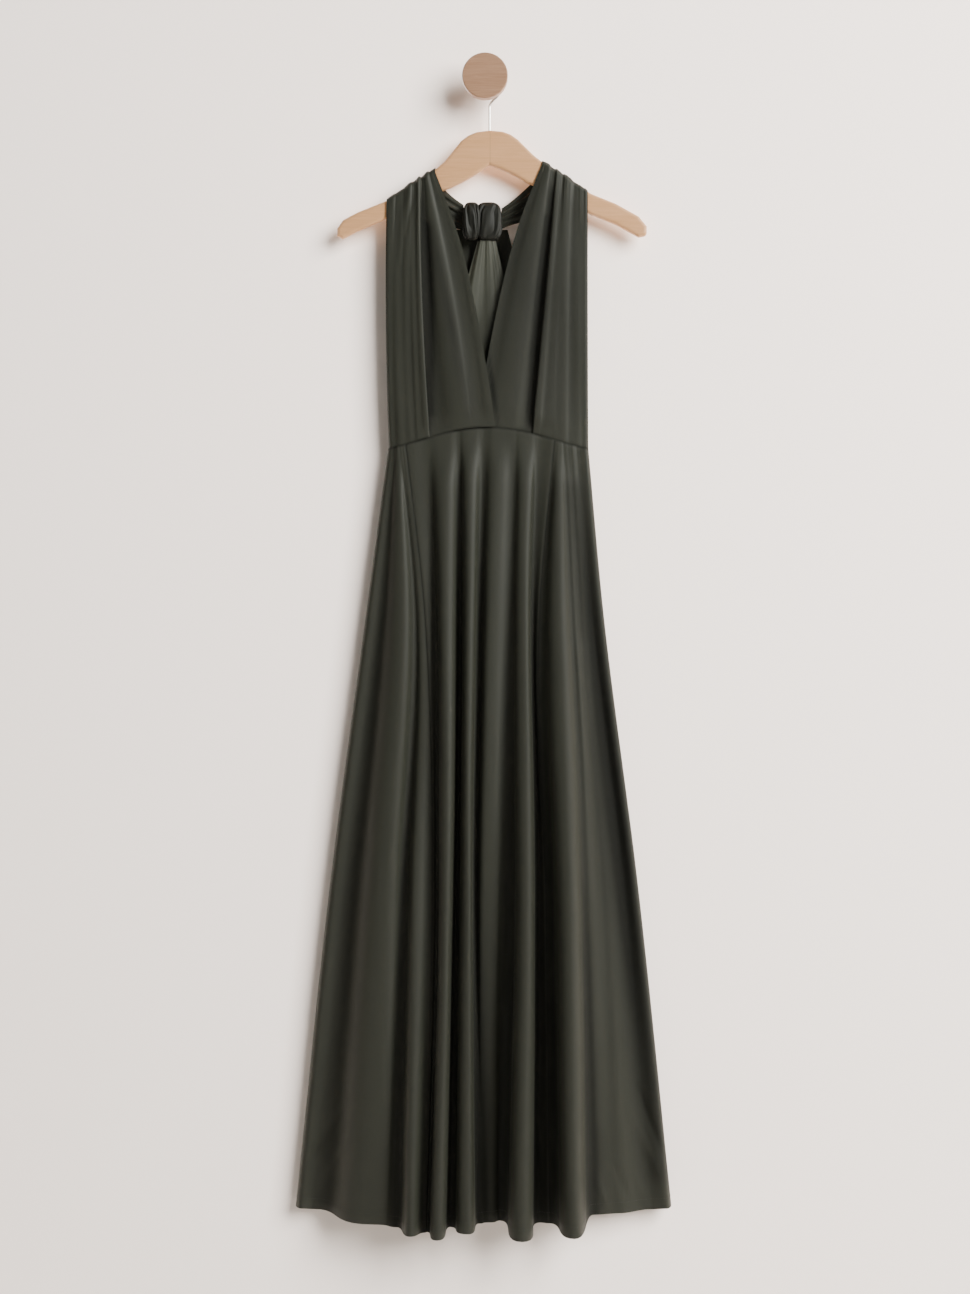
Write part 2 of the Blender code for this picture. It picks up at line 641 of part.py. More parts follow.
def add_lump(name, centre, half, fullness, grooves, groove_depth, look, parent):
    """A rounded stretch of the knot with upright grooves, as a ball whose points are pushed out."""
    shape = bmesh.new()
    bmesh.ops.create_uvsphere(shape, u_segments=LUMP_TURNS, v_segments=LUMP_LEVELS, radius=1.0)
    for vert in shape.verts:
        x, y, z = vert.co
        angle = math.atan2(y, x)
        waist = math.hypot(x, y)
        ripple = 1 - groove_depth * waist * (1 - math.cos(grooves * angle)) / 2
        full = [math.copysign(abs(value) ** fullness, value) for value in (x, y, z)]
        vert.co = Vector(
            (
                (centre[0] + half[0] * full[0] * ripple) * MM,
                (centre[1] + half[1] * full[1] * ripple) * MM,
                (centre[2] + half[2] * full[2]) * MM,
            )
        )
    mesh = bpy.data.meshes.new(name)
    shape.to_mesh(mesh)
    shape.free()
    mesh.shade_smooth()
    return add_object(name, mesh, look, parent)


def add_knot(look, parent):
    """The stretch that wraps the knot and the rounded lobe beside it."""
    add_lump("knot_wrap", (-20.1, -20.0, -190.4), (9.0, 14.0, 25.6), 0.65, 6, 0.1, look, parent)
    add_lump("knot_lobe", (5.8, -19.0, -190.2), (16.5, 13.0, 25.8), 0.65, 4, 0.08, look, parent)


def add_hanger(look, parent):
    """The flat wishbone hanger, an outline from its stations, extruded and rounded."""
    outline = [(s.x, s.top) for s in HANGER_STATIONS]
    outline += [(s.x, s.bottom) for s in reversed(HANGER_STATIONS)]
    front = -(HANGER_MIDDLE_OUT + HANGER_THICK / 2)
    shape = bmesh.new()
    face = shape.faces.new([shape.verts.new(Vector((x, front, z)) * MM) for x, z in outline])
    grown = bmesh.ops.extrude_face_region(shape, geom=[face])
    verts = [item for item in grown["geom"] if isinstance(item, bmesh.types.BMVert)]
    bmesh.ops.translate(shape, verts=verts, vec=(0, HANGER_THICK * MM, 0))
    bmesh.ops.recalc_face_normals(shape, faces=shape.faces[:])
    mesh = bpy.data.meshes.new("hanger_body")
    shape.to_mesh(mesh)
    shape.free()
    hanger = add_object("hanger_body", mesh, look, parent)
    bevel = hanger.modifiers.new("rounded edges", "BEVEL")
    bevel.width = HANGER_EDGE_ROUND * MM
    bevel.segments = 3
    bevel.limit_method = "ANGLE"
    bevel.angle_limit = math.radians(75)
    return hanger


def add_hook(look, parent):
    """The wire hook, up from the hanger and round the peg's stem."""
    foot_z = float(hanger_top(HOOK_FOOT_X)) + SEAM_GAP
    start = math.radians(HOOK_START_ANGLE)
    bend_end = (HOOK_CENTRE_X + HOOK_RADIUS * math.cos(start), HOOK_CENTRE_Z + HOOK_RADIUS * math.sin(start))
    route = [(HOOK_FOOT_X, foot_z), (HOOK_FOOT_X, (foot_z + HOOK_BEND_Z) / 2), (HOOK_FOOT_X, HOOK_BEND_Z)]
    over = bend_end[0] - HOOK_FOOT_X
    up = bend_end[1] - HOOK_BEND_Z
    for share in HOOK_BEND_SHARES:
        route.append((HOOK_FOOT_X + over * share**HOOK_BEND_POWER, HOOK_BEND_Z + up * share))
    for step in range(HOOK_STEPS + 1):
        angle = math.radians(HOOK_START_ANGLE + (HOOK_END_ANGLE - HOOK_START_ANGLE) * step / HOOK_STEPS)
        route.append(
            (HOOK_CENTRE_X + HOOK_RADIUS * math.cos(angle), HOOK_CENTRE_Z + HOOK_RADIUS * math.sin(angle))
        )
    curve = bpy.data.curves.new("hanger_hook", "CURVE")
    curve.dimensions = "3D"
    curve.bevel_depth = HOOK_WIRE_RADIUS * MM
    curve.bevel_resolution = 2
    curve.use_fill_caps = True
    spline = curve.splines.new("POLY")
    spline.points.add(len(route) - 1)
    for place, (x, z) in zip(spline.points, route):
        place.co = (x * MM, -HANGER_MIDDLE_OUT * MM, z * MM, 1.0)
    return add_object("hanger_hook", curve, look, parent)


def add_peg(look, parent):
    """The turned wall peg: a stem and a round end disc, one piece of wood."""
    front = PEG_STEM_LENGTH + PEG_DISC_THICK
    profile = (
        (0.0, 0.0),
        (PEG_STEM_RADIUS, 0.0),
        (PEG_STEM_RADIUS, PEG_STEM_LENGTH),
        (PEG_DISC_RADIUS - PEG_EDGE, PEG_STEM_LENGTH),
        (PEG_DISC_RADIUS, PEG_STEM_LENGTH + PEG_EDGE),
        (PEG_DISC_RADIUS, front - PEG_EDGE),
        (PEG_DISC_RADIUS - PEG_EDGE, front),
        (0.0, front),
    )
    shape = bmesh.new()
    verts = [shape.verts.new((radius * MM, -out * MM, 0.0)) for radius, out in profile]
    edges = [shape.edges.new(pair) for pair in zip(verts, verts[1:])]
    bmesh.ops.spin(
        shape,
        geom=verts + edges,
        cent=(0, 0, 0),
        axis=(0, 1, 0),
        angle=2 * math.pi,
        steps=40,
        use_merge=True,
        use_duplicate=False,
    )
    bmesh.ops.remove_doubles(shape, verts=shape.verts[:], dist=0.00001)
    bmesh.ops.recalc_face_normals(shape, faces=shape.faces[:])
    mesh = bpy.data.meshes.new("wall_peg")
    shape.to_mesh(mesh)
    shape.free()
    mesh.shade_smooth()
    mesh.set_sharp_from_angle(angle=math.radians(40))
    return add_object("wall_peg", mesh, look, parent)


def main():
    """Builds the whole part."""
    for item in list(bpy.data.objects):
        bpy.data.objects.remove(item)
    root = bpy.data.objects.new("dress_on_hanger", None)
    bpy.context.scene.collection.objects.link(root)
    satin = material("olive satin jersey", (0.045, 0.043, 0.031), 0.45)
    pale_wood = material("pale beech", (0.62, 0.44, 0.32), 0.5)
    peg_wood = material("darker beech", (0.48, 0.32, 0.22), 0.55)
    steel = material("plated wire", (0.6, 0.6, 0.6), 0.3, 1.0)
    add_peg(peg_wood, root)
    add_hanger(pale_wood, root)
    add_hook(steel, root)
    add_skirt(satin, root)
    add_straps(satin, root)
    add_knot(satin, root)
    add_tails(satin, root)


if __name__ == "__main__":
    main()
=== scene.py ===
"""Looks of the floor-length bridesmaid dress on its wooden hanger and wall peg.

Metres, +Z up, the wall is the plane Y = 0 and the dress hangs in front of it, toward -Y. Tables are in
millimetres: x is to the viewer's right, z is up and "out" is the distance from the wall. Each fold table
has a row for every line where the cloth turns, and the section between two rows is a smooth S.
"""

from __future__ import annotations

import logging
import math
from dataclasses import dataclass, field
from enum import Enum
from typing import Callable, Iterable, NamedTuple, Optional, Sequence

import bmesh
import bpy
import numpy as np
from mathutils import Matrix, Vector

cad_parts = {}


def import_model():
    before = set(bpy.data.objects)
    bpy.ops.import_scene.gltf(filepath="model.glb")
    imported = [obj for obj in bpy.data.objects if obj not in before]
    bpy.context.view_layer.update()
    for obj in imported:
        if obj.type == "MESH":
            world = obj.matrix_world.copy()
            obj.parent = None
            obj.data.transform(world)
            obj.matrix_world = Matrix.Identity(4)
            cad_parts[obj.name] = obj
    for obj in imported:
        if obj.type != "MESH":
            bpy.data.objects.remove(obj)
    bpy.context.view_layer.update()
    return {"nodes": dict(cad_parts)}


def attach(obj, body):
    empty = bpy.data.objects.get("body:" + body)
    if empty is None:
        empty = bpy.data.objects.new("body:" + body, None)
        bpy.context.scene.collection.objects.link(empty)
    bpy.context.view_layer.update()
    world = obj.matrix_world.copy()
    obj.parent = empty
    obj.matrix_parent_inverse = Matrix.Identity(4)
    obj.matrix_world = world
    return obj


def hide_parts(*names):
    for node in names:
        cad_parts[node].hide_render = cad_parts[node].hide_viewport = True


LOG = logging.getLogger("dress")
MM = 0.001
CREASE_FADE = 0.62
SHARP_DEGREES = 62
Triple = tuple[float, float, float]
Colour = Triple
Surface = Callable[[np.ndarray, float], np.ndarray]


class SkirtFold(NamedTuple):
    """A line down the skirt where the cloth turns, in millimetres."""

    name: str
    x_waist: float
    x_hip: float
    x_knee: float
    x_hem: float
    out_waist: float
    out_hip: float
    out_hem: float
    hem_z: float
    steep: float
    pinch: float


class StrapFold(NamedTuple):
    """A line along a strap where the cloth turns: x and out at the waist, the chest and the hanger."""

    name: str
    x_waist: float
    x_chest: float
    x_crest: float
    out_waist: float
    out_chest: float
    crest_rise: float
    knot_share: float
    knot_rise: float
    lap: float


class TailFold(NamedTuple):
    """A line down a hanging strap end, which starts lift above the knot's bottom."""

    name: str
    x_top: float
    x_neck: float
    x_end: float
    out_top: float
    out_neck: float
    out_end: float
    lift: float


class HangerStation(NamedTuple):
    """Upper edge of the hanger at one x."""

    x: float
    top: float


FRONT_FOLDS = (
    SkirtFold("left side", -132, -160, -213, -259, 28, 26, 18, -1539, 0.0, 0.0),
    SkirtFold("left brink", -127, -154, -205, -250, 35, 34.5, 33, -1540, 0.0, 0.0),
    SkirtFold("left trough", -123, -143, -188, -234, 35.5, 33.5, 28, -1542, 0.2, 0.0),
    SkirtFold("ridge 0", -119, -112, -135, -150, 38.5, 50, 78, -1550, 0.3, -0.8),
    SkirtFold("valley 0", -115, -96, -108, -118.5, 38.5, 39.2, 72, -1555, 0.3, 0.1),
    SkirtFold("ridge 1", -111.5, -88, -95, -100, 38.5, 41.6, 112, -1557, 0.2, -0.3),
    SkirtFold("left seam", -108, -84, -71, -81, 38.5, 41.6, 92, -1557, 0.2, 0.0),
    SkirtFold("valley 1", -80, -69.5, -66, -77.5, 37.5, 39, 88, -1557, 0.7, 0.4),
    SkirtFold("ridge 2", -54, -53.5, -52.5, -63.5, 42, 55, 120, -1560, 0.7, -0.8),
    SkirtFold("valley 2", -36, -34, -39, -47, 37.5, 38.5, 82, -1552, 0.7, 0.4),
    SkirtFold("ridge 3", -21, -21.5, -22, -22.5, 43, 56, 112, -1554, 0.7, -0.8),
    SkirtFold("valley 3", -2, -6, -14, -8.5, 37.5, 38.5, 62, -1553, 0.7, 0.3),
    SkirtFold("ridge 3b", 19, 9.5, 0.5, 6, 42, 50, 60, -1552, 0.4, -0.6),
    SkirtFold("valley A", 40, 34, 32, 21, 38.5, 45, 50, -1552, 0.7, 0.1),
    SkirtFold("ridge 4", 57, 54.5, 56, 49, 42.5, 57, 120, -1562, 0.8, -0.9),
    SkirtFold("valley B", 74, 66, 74, 74, 37, 38, 48, -1555, 0.2, 0.0),
    SkirtFold("right seam", 95, 75, 82, 88, 38.5, 43, 52, -1555, 0.5, 0.1),
    SkirtFold("ridge 5", 100.5, 101, 113, 119, 40.5, 57, 116, -1559, 0.2, -0.6),
    SkirtFold("valley 6", 109, 119, 139, 147, 37.5, 45, 50, -1544, 0.0, 0.0),
    SkirtFold("right swell", 118, 131, 163, 181, 37, 38.5, 47, -1543, 0.0, 0.0),
    SkirtFold("right trough", 127, 143, 190, 226, 35.5, 33.5, 33, -1541, 0.0, 0.0),
    SkirtFold("right brink", 136, 154, 203, 247, 36, 37.5, 38, -1539, 0.0, 0.0),
    SkirtFold("right side", 141, 160, 210, 255, 28, 26, 18, -1538, 0.0, 0.0),
)

BACK_FOLDS = (
    SkirtFold("left side", -132, -160, -213, -259, 28, 26, 18, -1539, 0.0, 0.0),
    SkirtFold("left brink", -126, -152, -202, -244, 15, 14.6, 13, -1540, 0.0, 0.0),
    SkirtFold("flute 1", -106, -127, -168, -208, 16.5, 18.2, 25, -1542, 0.5, 0.0),
    SkirtFold("dip 1", -88, -106, -139, -172, 14, 13.8, 13, -1542, 0.5, 0.0),
    SkirtFold("flute 2", -69, -82, -107, -132, 16.5, 18.6, 27, -1543, 0.5, 0.0),
    SkirtFold("dip 2", -48, -58, -76, -94, 14, 13.7, 12.5, -1542, 0.5, 0.0),
    SkirtFold("flute 3", -27, -32, -42, -52, 16.5, 18.4, 26, -1543, 0.5, 0.0),
    SkirtFold("dip 3", -5, -8, -11, -14, 14, 13.7, 12.5, -1542, 0.5, 0.0),
    SkirtFold("flute 4", 16, 18, 22, 28, 16.5, 18.6, 27, -1543, 0.5, 0.0),
    SkirtFold("dip 4", 36, 42, 54, 66, 14, 13.7, 12.5, -1542, 0.5, 0.0),
    SkirtFold("flute 5", 58, 68, 87, 107, 16.5, 18.4, 26, -1543, 0.5, 0.0),
    SkirtFold("dip 5", 80, 92, 119, 146, 14, 13.8, 13, -1542, 0.5, 0.0),
    SkirtFold("flute 6", 104, 120, 154, 188, 16.5, 18.2, 25, -1542, 0.5, 0.0),
    SkirtFold("right brink", 135, 152, 199, 240, 15, 14.6, 13, -1539, 0.0, 0.0),
    SkirtFold("right side", 141, 160, 210, 255, 28, 26, 18, -1538, 0.0, 0.0),
)

LEFT_STRAP_FOLDS = (
    StrapFold("outer edge", -131, -135, -134, 28, 34, 0.0, 1.0, 0.0, 0),
    StrapFold("outer brink", -127, -131, -129, 36, 38.5, 0.8, 0.9, 1.2, 0),
    StrapFold("outer dip", -112, -117, -114, 38.6, 39.8, 0.3, 0.79, -1.2, 0),
    StrapFold("swell", -97, -104, -103, 39.6, 40.8, 2.5, 0.68, 0.0, 0),
    StrapFold("crease", -88, -96, -96, 40.6, 41.8, 1.0, 0.57, 0.0, 0),
    StrapFold("pleat lip", -77, -87, -91, 42, 43.2, 3.0, 0.46, 1.2, 1.0),
    StrapFold("under pleat", -75, -84.5, -86, 37.6, 36.6, 0.3, 0.35, -1.2, 0),
    StrapFold("inner swell", -26, -53, -80, 42.8, 42.0, 2.4, 0.23, 0.1, 0),
    StrapFold("inner dip", -10, -35, -74, 41.5, 39, 0.4, 0.11, -0.8, 0),
    StrapFold("inner edge", 14, -20, -68, 43.5, 40, 0.8, 0.0, 0.4, 0),
)

RIGHT_STRAP_FOLDS = (
    StrapFold("outer edge", 141, 140, 140, 28, 34, 0.0, 1.0, 0.0, 0),
    StrapFold("outer brink", 137, 136, 135, 35, 38, 0.8, 0.88, 1.2, 0),
    StrapFold("outer dip", 122, 121, 123, 36.2, 38.6, 0.4, 0.76, -1.2, 0),
    StrapFold("swell", 103, 106, 112, 38.6, 40.6, 2.8, 0.63, 1.2, 0),
    StrapFold("crease", 84, 94, 105, 39, 41.2, 1.2, 0.5, -1.2, 0),
    StrapFold("pleat lip", 66, 83, 100, 41.4, 43.2, 2.4, 0.38, 1.2, -1.0),
    StrapFold("under pleat", 64, 80.5, 93, 36, 36.4, 0.3, 0.25, -1.2, 0),
    StrapFold("inner swell", 25, 52, 86, 39.3, 41, 2.2, 0.12, 1.2, 0),
    StrapFold("inner edge", -12, 25, 78, 37.6, 38.2, 0.6, 0.0, 0.0, 0),
)

TAIL_FRONT_FOLDS = (
    TailFold("left edge", -10, -36, -52, 15, 9, 6.4, 0),
    TailFold("ridge 1", -5, -22, -32, 20.5, 12.2, 8.8, 0),
    TailFold("valley 1", 0, -6, -10, 20, 11.8, 6.4, 0),
    TailFold("ridge 2", 5, 10, 12, 21, 12.8, 8.8, 0),
    TailFold("valley 2", 10, 24, 30, 18.5, 10.6, 6.4, 0),
    TailFold("right edge", 15, 36, 48, 16, 9.4, 7.6, 0),
)

TAIL_BACK_FOLDS = (
    TailFold("left edge", -46, -52, -66, 5.0, 3.6, 3.2, 17.5),
    TailFold("ridge 1", -30, -36, -42, 5.1, 4.6, 4.0, 17.5),
    TailFold("valley 1", -8, -8, -8, 5.0, 2.6, 2.4, 17.5),
    TailFold("ridge 2", 12, 22, 26, 5.1, 4.6, 4.0, 17.5),
    TailFold("valley 2", 24, 42, 46, 5.0, 2.6, 2.4, 17.5),
    TailFold("right edge", 31, 57, 68, 5.0, 3.8, 3.4, 17.5),
)

HANGER_STATIONS = (
    HangerStation(-202, -202),
    HangerStation(-194, -190.5),
    HangerStation(-174.5, -180),
    HangerStation(-137, -165),
    HangerStation(-100, -141.5),
    HangerStation(-66, -119.5),
    HangerStation(-55, -110),
    HangerStation(-44, -96.5),
    HangerStation(-33, -82.5),
    HangerStation(-23, -75),
    HangerStation(-12, -70.3),
    HangerStation(6, -68),
    HangerStation(24, -69.5),
    HangerStation(35, -73.5),
    HangerStation(45, -80.5),
    HangerStation(56, -91.5),
    HangerStation(66, -101.5),
    HangerStation(78, -111),
    HangerStation(110, -132),
    HangerStation(145, -154.5),
    HangerStation(178.5, -168),
    HangerStation(210, -185.5),
    HangerStation(221, -199),
)


class Crease(NamedTuple):
    """A soft trough (negative depth) or ridge from one end to the other, in millimetres, or a line of
    painted shade whose depth is its shade.
    """

    x0: float
    z0: float
    x1: float
    z1: float
    width: float
    depth: float


# Smooth section maths


def ease(share: np.ndarray) -> np.ndarray:
    """Goes from 0 to 1, level at both ends."""
    return (1 - np.cos(np.pi * share)) / 2


def smooth_path(
    share: float, start: np.ndarray, leave: np.ndarray, end: np.ndarray, arrive: np.ndarray
) -> np.ndarray:
    """Reads a smooth path between two ends.

    Args:
        share: Where it is read, from 0 to 1.
        start: Values at 0.
        leave: Slopes there.
        end: Values at 1.
        arrive: Slopes there.

    Returns:
        The values at share.
    """
    square = share * share
    cube = square * share
    return (
        (2 * cube - 3 * square + 1) * start
        + (cube - 2 * square + share) * leave
        + (3 * square - 2 * cube) * end
        + (cube - square) * arrive
    )


def through(knots: np.ndarray, values: np.ndarray, at: float) -> np.ndarray:
    """Reads a smooth curve through values at one place.

    Args:
        knots: Places of the values, rising.
        values: A row for each fold and a column for each knot.
        at: Where the curve is read.

    Returns:
        One value for each fold.
    """
    index = min(max(int(np.searchsorted(knots, at, side="right")) - 1, 0), len(knots) - 2)
    slopes = np.gradient(values, knots, axis=1)
    span = knots[index + 1] - knots[index]
    share = (at - knots[index]) / span
    ends = (values[:, index], slopes[:, index] * span, values[:, index + 1], slopes[:, index + 1] * span)
    return smooth_path(share, *ends)


def through_three(first: np.ndarray, middle: np.ndarray, last: np.ndarray, share: float) -> np.ndarray:
    """Reads the parabola through three values.

    Args:
        first: Values at 0.
        middle: Values at 0.5.
        last: Values at 1.
        share: Where it is read.

    Returns:
        One value for each fold.
    """
    return (
        first * (1 - share) * (1 - 2 * share)
        + middle * 4 * share * (1 - share)
        + last * share * (2 * share - 1)
    )


def columns(rows: Sequence[NamedTuple], *names: str) -> np.ndarray:
    """The named columns of a fold table as an array with a row for each fold."""
    return np.array([[float(getattr(row, name)) for name in names] for row in rows])


def fold_section(
    lateral: np.ndarray,
    height: np.ndarray,
    u: np.ndarray,
    steep: np.ndarray,
    pinch: np.ndarray,
    lap: np.ndarray,
    round_first: bool = False,
    round_last: bool = False,
) -> tuple[np.ndarray, np.ndarray]:
    """Reads a section of cloth at the row places u.

    Args:
        lateral: Sideways place of each fold row.
        height: Distance from the wall of each fold row.
        u: Places to read, counted in fold rows.
        steep: How upright the flank after each row is.
        pinch: How narrow the turn at each row is.
        lap: How far, in millimetres, one side of a fold lies over the other.
        round_first: Makes the first stretch a quarter ellipse, turned toward the wall.
        round_last: The same for the last stretch.

    Returns:
        The sideways and the outward coordinate at each place.
    """
    last = len(lateral) - 2
    index = np.clip(np.floor(u).astype(int), 0, last)
    share = u - index
    step = lateral[index + 1] - lateral[index]
    narrow = pinch[index] * share * (1 - share) ** 2 + pinch[index + 1] * share**2 * (share - 1)
    wave = np.sin(2 * np.pi * share)
    turned = share - narrow + steep[index] * wave / (2 * np.pi)
    side = lateral[index] + step * turned + lap[index] * wave
    rise = height[index + 1] - height[index]
    outward = height[index] + rise * ease(share)
    quarter = np.pi / 2 * share
    if round_first:
        side = np.where(index == 0, lateral[index] + step * (1 - np.cos(quarter)), side)
        outward = np.where(index == 0, height[index] + rise * np.sin(quarter), outward)
    if round_last:
        side = np.where(index == last, lateral[index] + step * np.sin(quarter), side)
        outward = np.where(index == last, height[index] + rise * (1 - np.cos(quarter)), outward)
    return side, outward


def ripples(u: np.ndarray, count: float, seed: float) -> np.ndarray:
    """Small uneven gathers across a width, about 1 high, that repeat exactly on each run.

    Args:
        u: Share of the width, 0 to 1.
        count: About how many gathers fit the width.
        seed: Shifts the pattern.

    Returns:
        The height of the gathers.
    """
    total = np.zeros_like(u)
    for part, (pace, weight) in enumerate(((1.0, 0.55), (1.63, 0.3), (2.41, 0.2))):
        sway = 0.8 * np.sin(5.1 * u + seed)
        total += weight * np.sin(2 * np.pi * count * pace * u + seed * (part + 1.7) + sway)
    return total


@dataclass(frozen=True)
class Gathers:
    """Fine gathers that run out away from a seam.

    Attributes:
        height: Their height at the seam, millimetres.
        reach: Where they run out, in the measure of the distance from the seam.
        count: About how many fit the width.
        seed: Shifts their pattern.
    """

    height: float
    reach: float
    count: float
    seed: float

    def rise(self, width: np.ndarray, run: np.ndarray | float) -> np.ndarray:
        """Their height at shares of the width and at a distance from the seam."""
        return self.height * np.exp(-((run / self.reach) ** 2)) * ripples(width, self.count, self.seed)


@dataclass(frozen=True)
class Drape:
    """Broad, faint waves of hanging cloth.

    Attributes:
        height: Of the waves, millimetres.
        across: Millimetres sideways for each radian.
        lean: Millimetres down for each radian by which the sideways waves shift.
        down: Millimetres down for each radian.
        start: Shift of the sideways waves, radians.
        turn: Shift of the waves down the cloth.
    """

    height: float
    across: float
    lean: float
    down: float
    start: float = 0.0
    turn: float = 0.0

    def rise(self, x: np.ndarray, z: np.ndarray) -> np.ndarray:
        """Their height at places on the cloth."""
        sideways = np.sin(x / self.across + z / self.lean + self.start)
        return self.height * sideways * np.sin(z / self.down + self.turn)


def crease_push(creases: Iterable[Crease], x: np.ndarray, z: np.ndarray) -> np.ndarray:
    """Adds up creases.

    Args:
        creases: The creases on this piece.
        x: Sideways places on the cloth, millimetres.
        z: Heights of those places.

    Returns:
        How far each place moves outward, millimetres, or for shade lines how much painted shade each place
        gets.
    """
    total = np.zeros_like(x)
    for crease in creases:
        run = np.array([crease.x1 - crease.x0, crease.z1 - crease.z0])
        length = float(np.hypot(*run))
        along = ((x - crease.x0) * run[0] + (z - crease.z0) * run[1]) / length**2
        nearest = np.clip(along, 0, 1)
        gap = np.hypot(x - crease.x0 - run[0] * nearest, z - crease.z0 - run[1] * nearest)
        fade = np.clip(1 - np.abs(along - 0.5) / CREASE_FADE, 0, 1)
        total += crease.depth * np.exp(-((gap / crease.width) ** 2)) * np.sqrt(fade)
    return total


# Cloth surfaces


@dataclass(frozen=True)
class WaistLine:
    """The arched waist seam.

    Attributes are millimetres: side_z is its height at the sides and rise how far its middle lies above.
    """

    side_z: float = -503.0
    rise: float = 29.0
    half: float = 139.0
    middle_x: float = 4.0
    power: float = 1.3

    def height(self, x: np.ndarray) -> np.ndarray:
        """Height of the seam at x."""
        share = np.clip(np.abs(x - self.middle_x) / self.half, 0, 1)
        return self.side_z + self.rise * np.cos(np.pi / 2 * share) ** self.power


@dataclass(frozen=True)
class HangerLine:
    """The hanger's upper edge and the arc of cloth over it, in millimetres."""

    middle_out: float = 28.0
    arc_out: float = 7.4
    arc_up: float = 6.3
    arc_drop: float = 5.0

    def top(self, x: np.ndarray | float) -> np.ndarray:
        """Upper edge of the hanger at x."""
        return np.interp(x, [s.x for s in HANGER_STATIONS], [s.top for s in HANGER_STATIONS])


WAIST = WaistLine()
HANGER = HangerLine()


@dataclass(frozen=True)
class SkirtSurface:
    """A side of the skirt: u counts fold rows and v runs from the waist 0 to the hem 1.

    Attributes:
        folds: The lines down the skirt where the cloth turns.
        arched: Whether the upper edge follows the arched waist seam.
        wander: How far the fold lines drift sideways, millimetres.
        hip_down: Height share of the tables' hip values.
        knee_down: Height share of their knee values.
        seam_out: Greatest distance from the wall at the waist seam, millimetres.
        flat_down: Height share over which the folds open below the seam.
    """

    folds: tuple[SkirtFold, ...]
    arched: bool
    wander: float
    hip_down: float = 0.2
    knee_down: float = 0.583
    seam_out: float = 38.5
    flat_down: float = 0.075

    def point(self, u: np.ndarray, v: float) -> np.ndarray:
        """A row of points across the cloth at one height.

        Args:
            u: Places across the cloth, counted in fold rows.
            v: Share of the height, 0 at the top.

        Returns:
            A row of points, millimetres.
        """
        knots = np.array([0.0, self.hip_down, self.knee_down, 1.0])
        across = columns(self.folds, "x_waist", "x_hip", "x_knee", "x_hem")
        outs = columns(self.folds, "out_waist", "out_hip", "out_hem")
        at_seam = np.minimum(outs[:, 0], self.seam_out)
        hem = columns(self.folds, "hem_z")[:, 0]
        steep = columns(self.folds, "steep")[:, 0]
        pinch = columns(self.folds, "pinch")[:, 0]
        flat = np.zeros(len(self.folds))
        lateral = through(knots, across, v) + self._wander(v)
        open_height = through(np.array([0.0, self.hip_down, 1.0]), outs, v)
        height = at_seam + (open_height - at_seam) * ease(min(v / self.flat_down, 1.0))
        side, outward = fold_section(lateral, height, u, steep * math.sqrt(v), pinch, flat, True, True)
        _, hem_here = fold_section(lateral, hem, u, steep, pinch, flat)
        top, _ = fold_section(across[:, 0], at_seam, u, flat, pinch, flat, True, True)
        start = WAIST.height(top) if self.arched else np.full_like(u, WAIST.side_z)
        return np.stack([side, -outward, start + (hem_here - start) * v], axis=1)

    def _wander(self, v: float) -> np.ndarray:
        """Small sideways drift of the inner fold lines at one height.

        Args:
            v: Share of the height, 0 at the waist.

        Returns:
            A drift for each fold, millimetres.
        """
        rows = np.arange(len(self.folds))
        drift = np.sin(6.3 * v + rows * 2.1) * 0.6 + np.sin(13.7 * v + rows * 4.3) * 0.4
        drift[:3] = 0
        drift[-3:] = 0
        return self.wander * drift * math.sin(math.pi * min(v * 1.15, 1.0))


